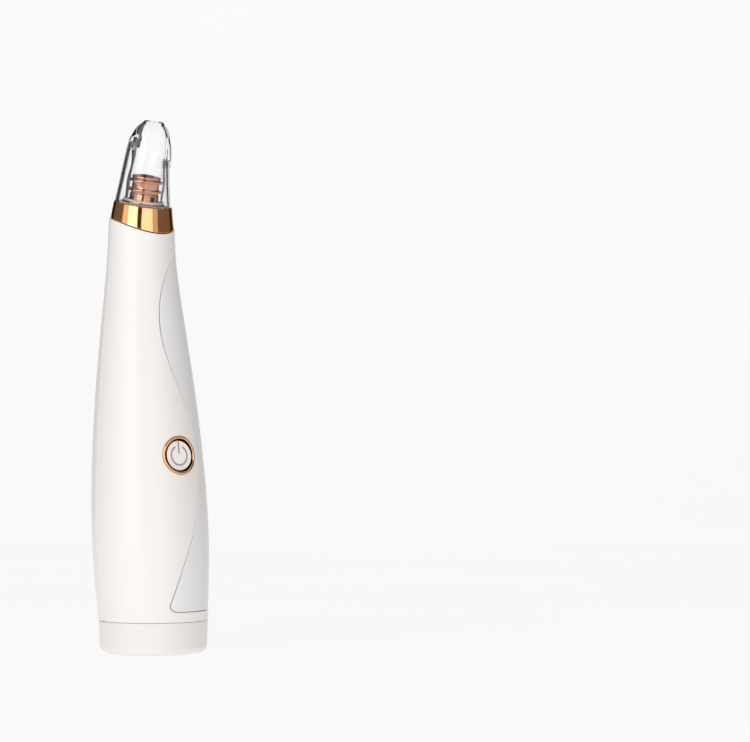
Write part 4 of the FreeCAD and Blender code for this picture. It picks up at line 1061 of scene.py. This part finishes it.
def make_camera():
    data = bpy.data.cameras.new("camera")
    data.lens = LENS
    data.sensor_width = 36.0
    data.clip_start = 0.02
    camera = bpy.data.objects.new("camera", data)
    bpy.context.scene.collection.objects.link(camera)
    camera.location = Vector(-AWAY * CAMERA_REACH) + Vector((0, 0, CAMERA_RISE))
    look = AWAY * math.cos(CAMERA_YAW) + RIGHT * math.sin(CAMERA_YAW)
    look = look * math.cos(CAMERA_PITCH) + np.array((0, 0, math.sin(CAMERA_PITCH)))
    camera.rotation_euler = Vector(look).to_track_quat("-Z", "Y").to_euler()
    bpy.context.scene.camera = camera


def softbox(name, turn, reach, wide, power, colour):
    """Large area light, turned round the object from the camera's side towards the viewer's right."""
    data = bpy.data.lights.new(name, "AREA")
    data.shape = "RECTANGLE"
    data.size = wide
    data.size_y = LAMP_TALL
    data.energy = power
    data.color = colour
    item = bpy.data.objects.new(name, data)
    bpy.context.scene.collection.objects.link(item)
    turn = math.radians(turn)
    spot = (-AWAY * math.cos(turn) + RIGHT * math.sin(turn)) * reach
    item.location = Vector(spot) + Vector((0, 0, LAMP_RISE))
    aim = Vector((0, 0, 0.1)) - item.location
    item.rotation_euler = aim.to_track_quat("-Z", "Y").to_euler()


def paper(name, glow):
    """Evenly lit translucent studio paper."""
    made = Nodes(name)
    made.colour(made.ramp(made.noise(6.0), (0.3, (0.09, 0.09, 0.09)), (0.7, (0.10, 0.10, 0.10))))
    made.rough(made.spread(made.noise(40.0), 0.9, 1.0))
    made.set(Specular_IOR_Level=0.0, Emission_Color=(1.0, 1.0, 1.0, 1.0), Emission_Strength=glow)
    return made.material


def sheet(name, path, left, right, material):
    """Upright or lying sheet that follows (ahead, rise) points and spans from left to right."""
    points = [tuple((AWAY * ahead + RIGHT * side) / MM + (0, 0, rise / MM))
              for ahead, rise in path for side in (left, right)]
    faces = [(2 * row, 2 * row + 1, 2 * row + 3, 2 * row + 2) for row in range(len(path) - 1)]
    return make_object(name, points, faces, material, sharp=math.radians(60))


def make_stage():
    """Pale floor, a lit sheet behind it, a ceiling, and black cards that draw the edges of clear parts."""
    bend_start = SHEET_FAR - SHEET_BEND
    bend = [(bend_start + SHEET_BEND * math.sin(turn), SHEET_BEND - SHEET_BEND * math.cos(turn))
            for turn in np.linspace(0, math.pi / 2, 16)]
    floor = [(SHEET_NEAR, 0.0), (bend_start, 0.0)]
    ceiling = [(-0.3, CEILING_RISE), (1.3, CEILING_RISE)]
    for name, path, left, right, glow in (
            ("floor_sheet", floor, -FLOOR_HALF, FLOOR_HALF, SHEET_GLOW),
            ("back_sheet", bend + [(SHEET_FAR, SHEET_HIGH)], BACK_LEFT, BACK_RIGHT, SHEET_GLOW),
            ("ceiling_sheet", ceiling, -0.9, 1.1, CEILING_GLOW)):
        sheet(name, path, left, right, paper(name, glow))
    for name, ends in CARDS.items():
        points = [tuple((AWAY * ahead + RIGHT * side) / MM + (0, 0, rise / MM))
                  for ahead, side in ends for rise in (0.0, CARD_HIGH)]
        card = make_object(name, points, [(0, 1, 3, 2)], plain_dark)
        card.visible_camera = False


def make_light():
    """Four softboxes and a dim warm world that only the camera sees as white."""
    for lamp in LAMPS:
        softbox(*lamp)
    world = bpy.data.worlds.new("studio")
    bpy.context.scene.world = world
    world.use_nodes = True
    tree = world.node_tree
    path = tree.nodes.new("ShaderNodeLightPath")
    mix = tree.nodes.new("ShaderNodeMix")
    mix.data_type = "RGBA"
    mix.inputs["A"].default_value = WORLD_COLOUR
    mix.inputs["B"].default_value = WORLD_SEEN
    tree.links.new(path.outputs["Is Camera Ray"], mix.inputs["Factor"])
    tree.links.new(mix.outputs["Result"], tree.nodes["Background"].inputs["Color"])
    bpy.context.scene.view_settings.view_transform = "Standard"


finish_nodes()
make_shells()
make_foot()
make_collar()
make_tip()
make_nozzle()
make_sponge()
make_bezel()
make_cap()
make_icon()
make_camera()
make_stage()
make_light()
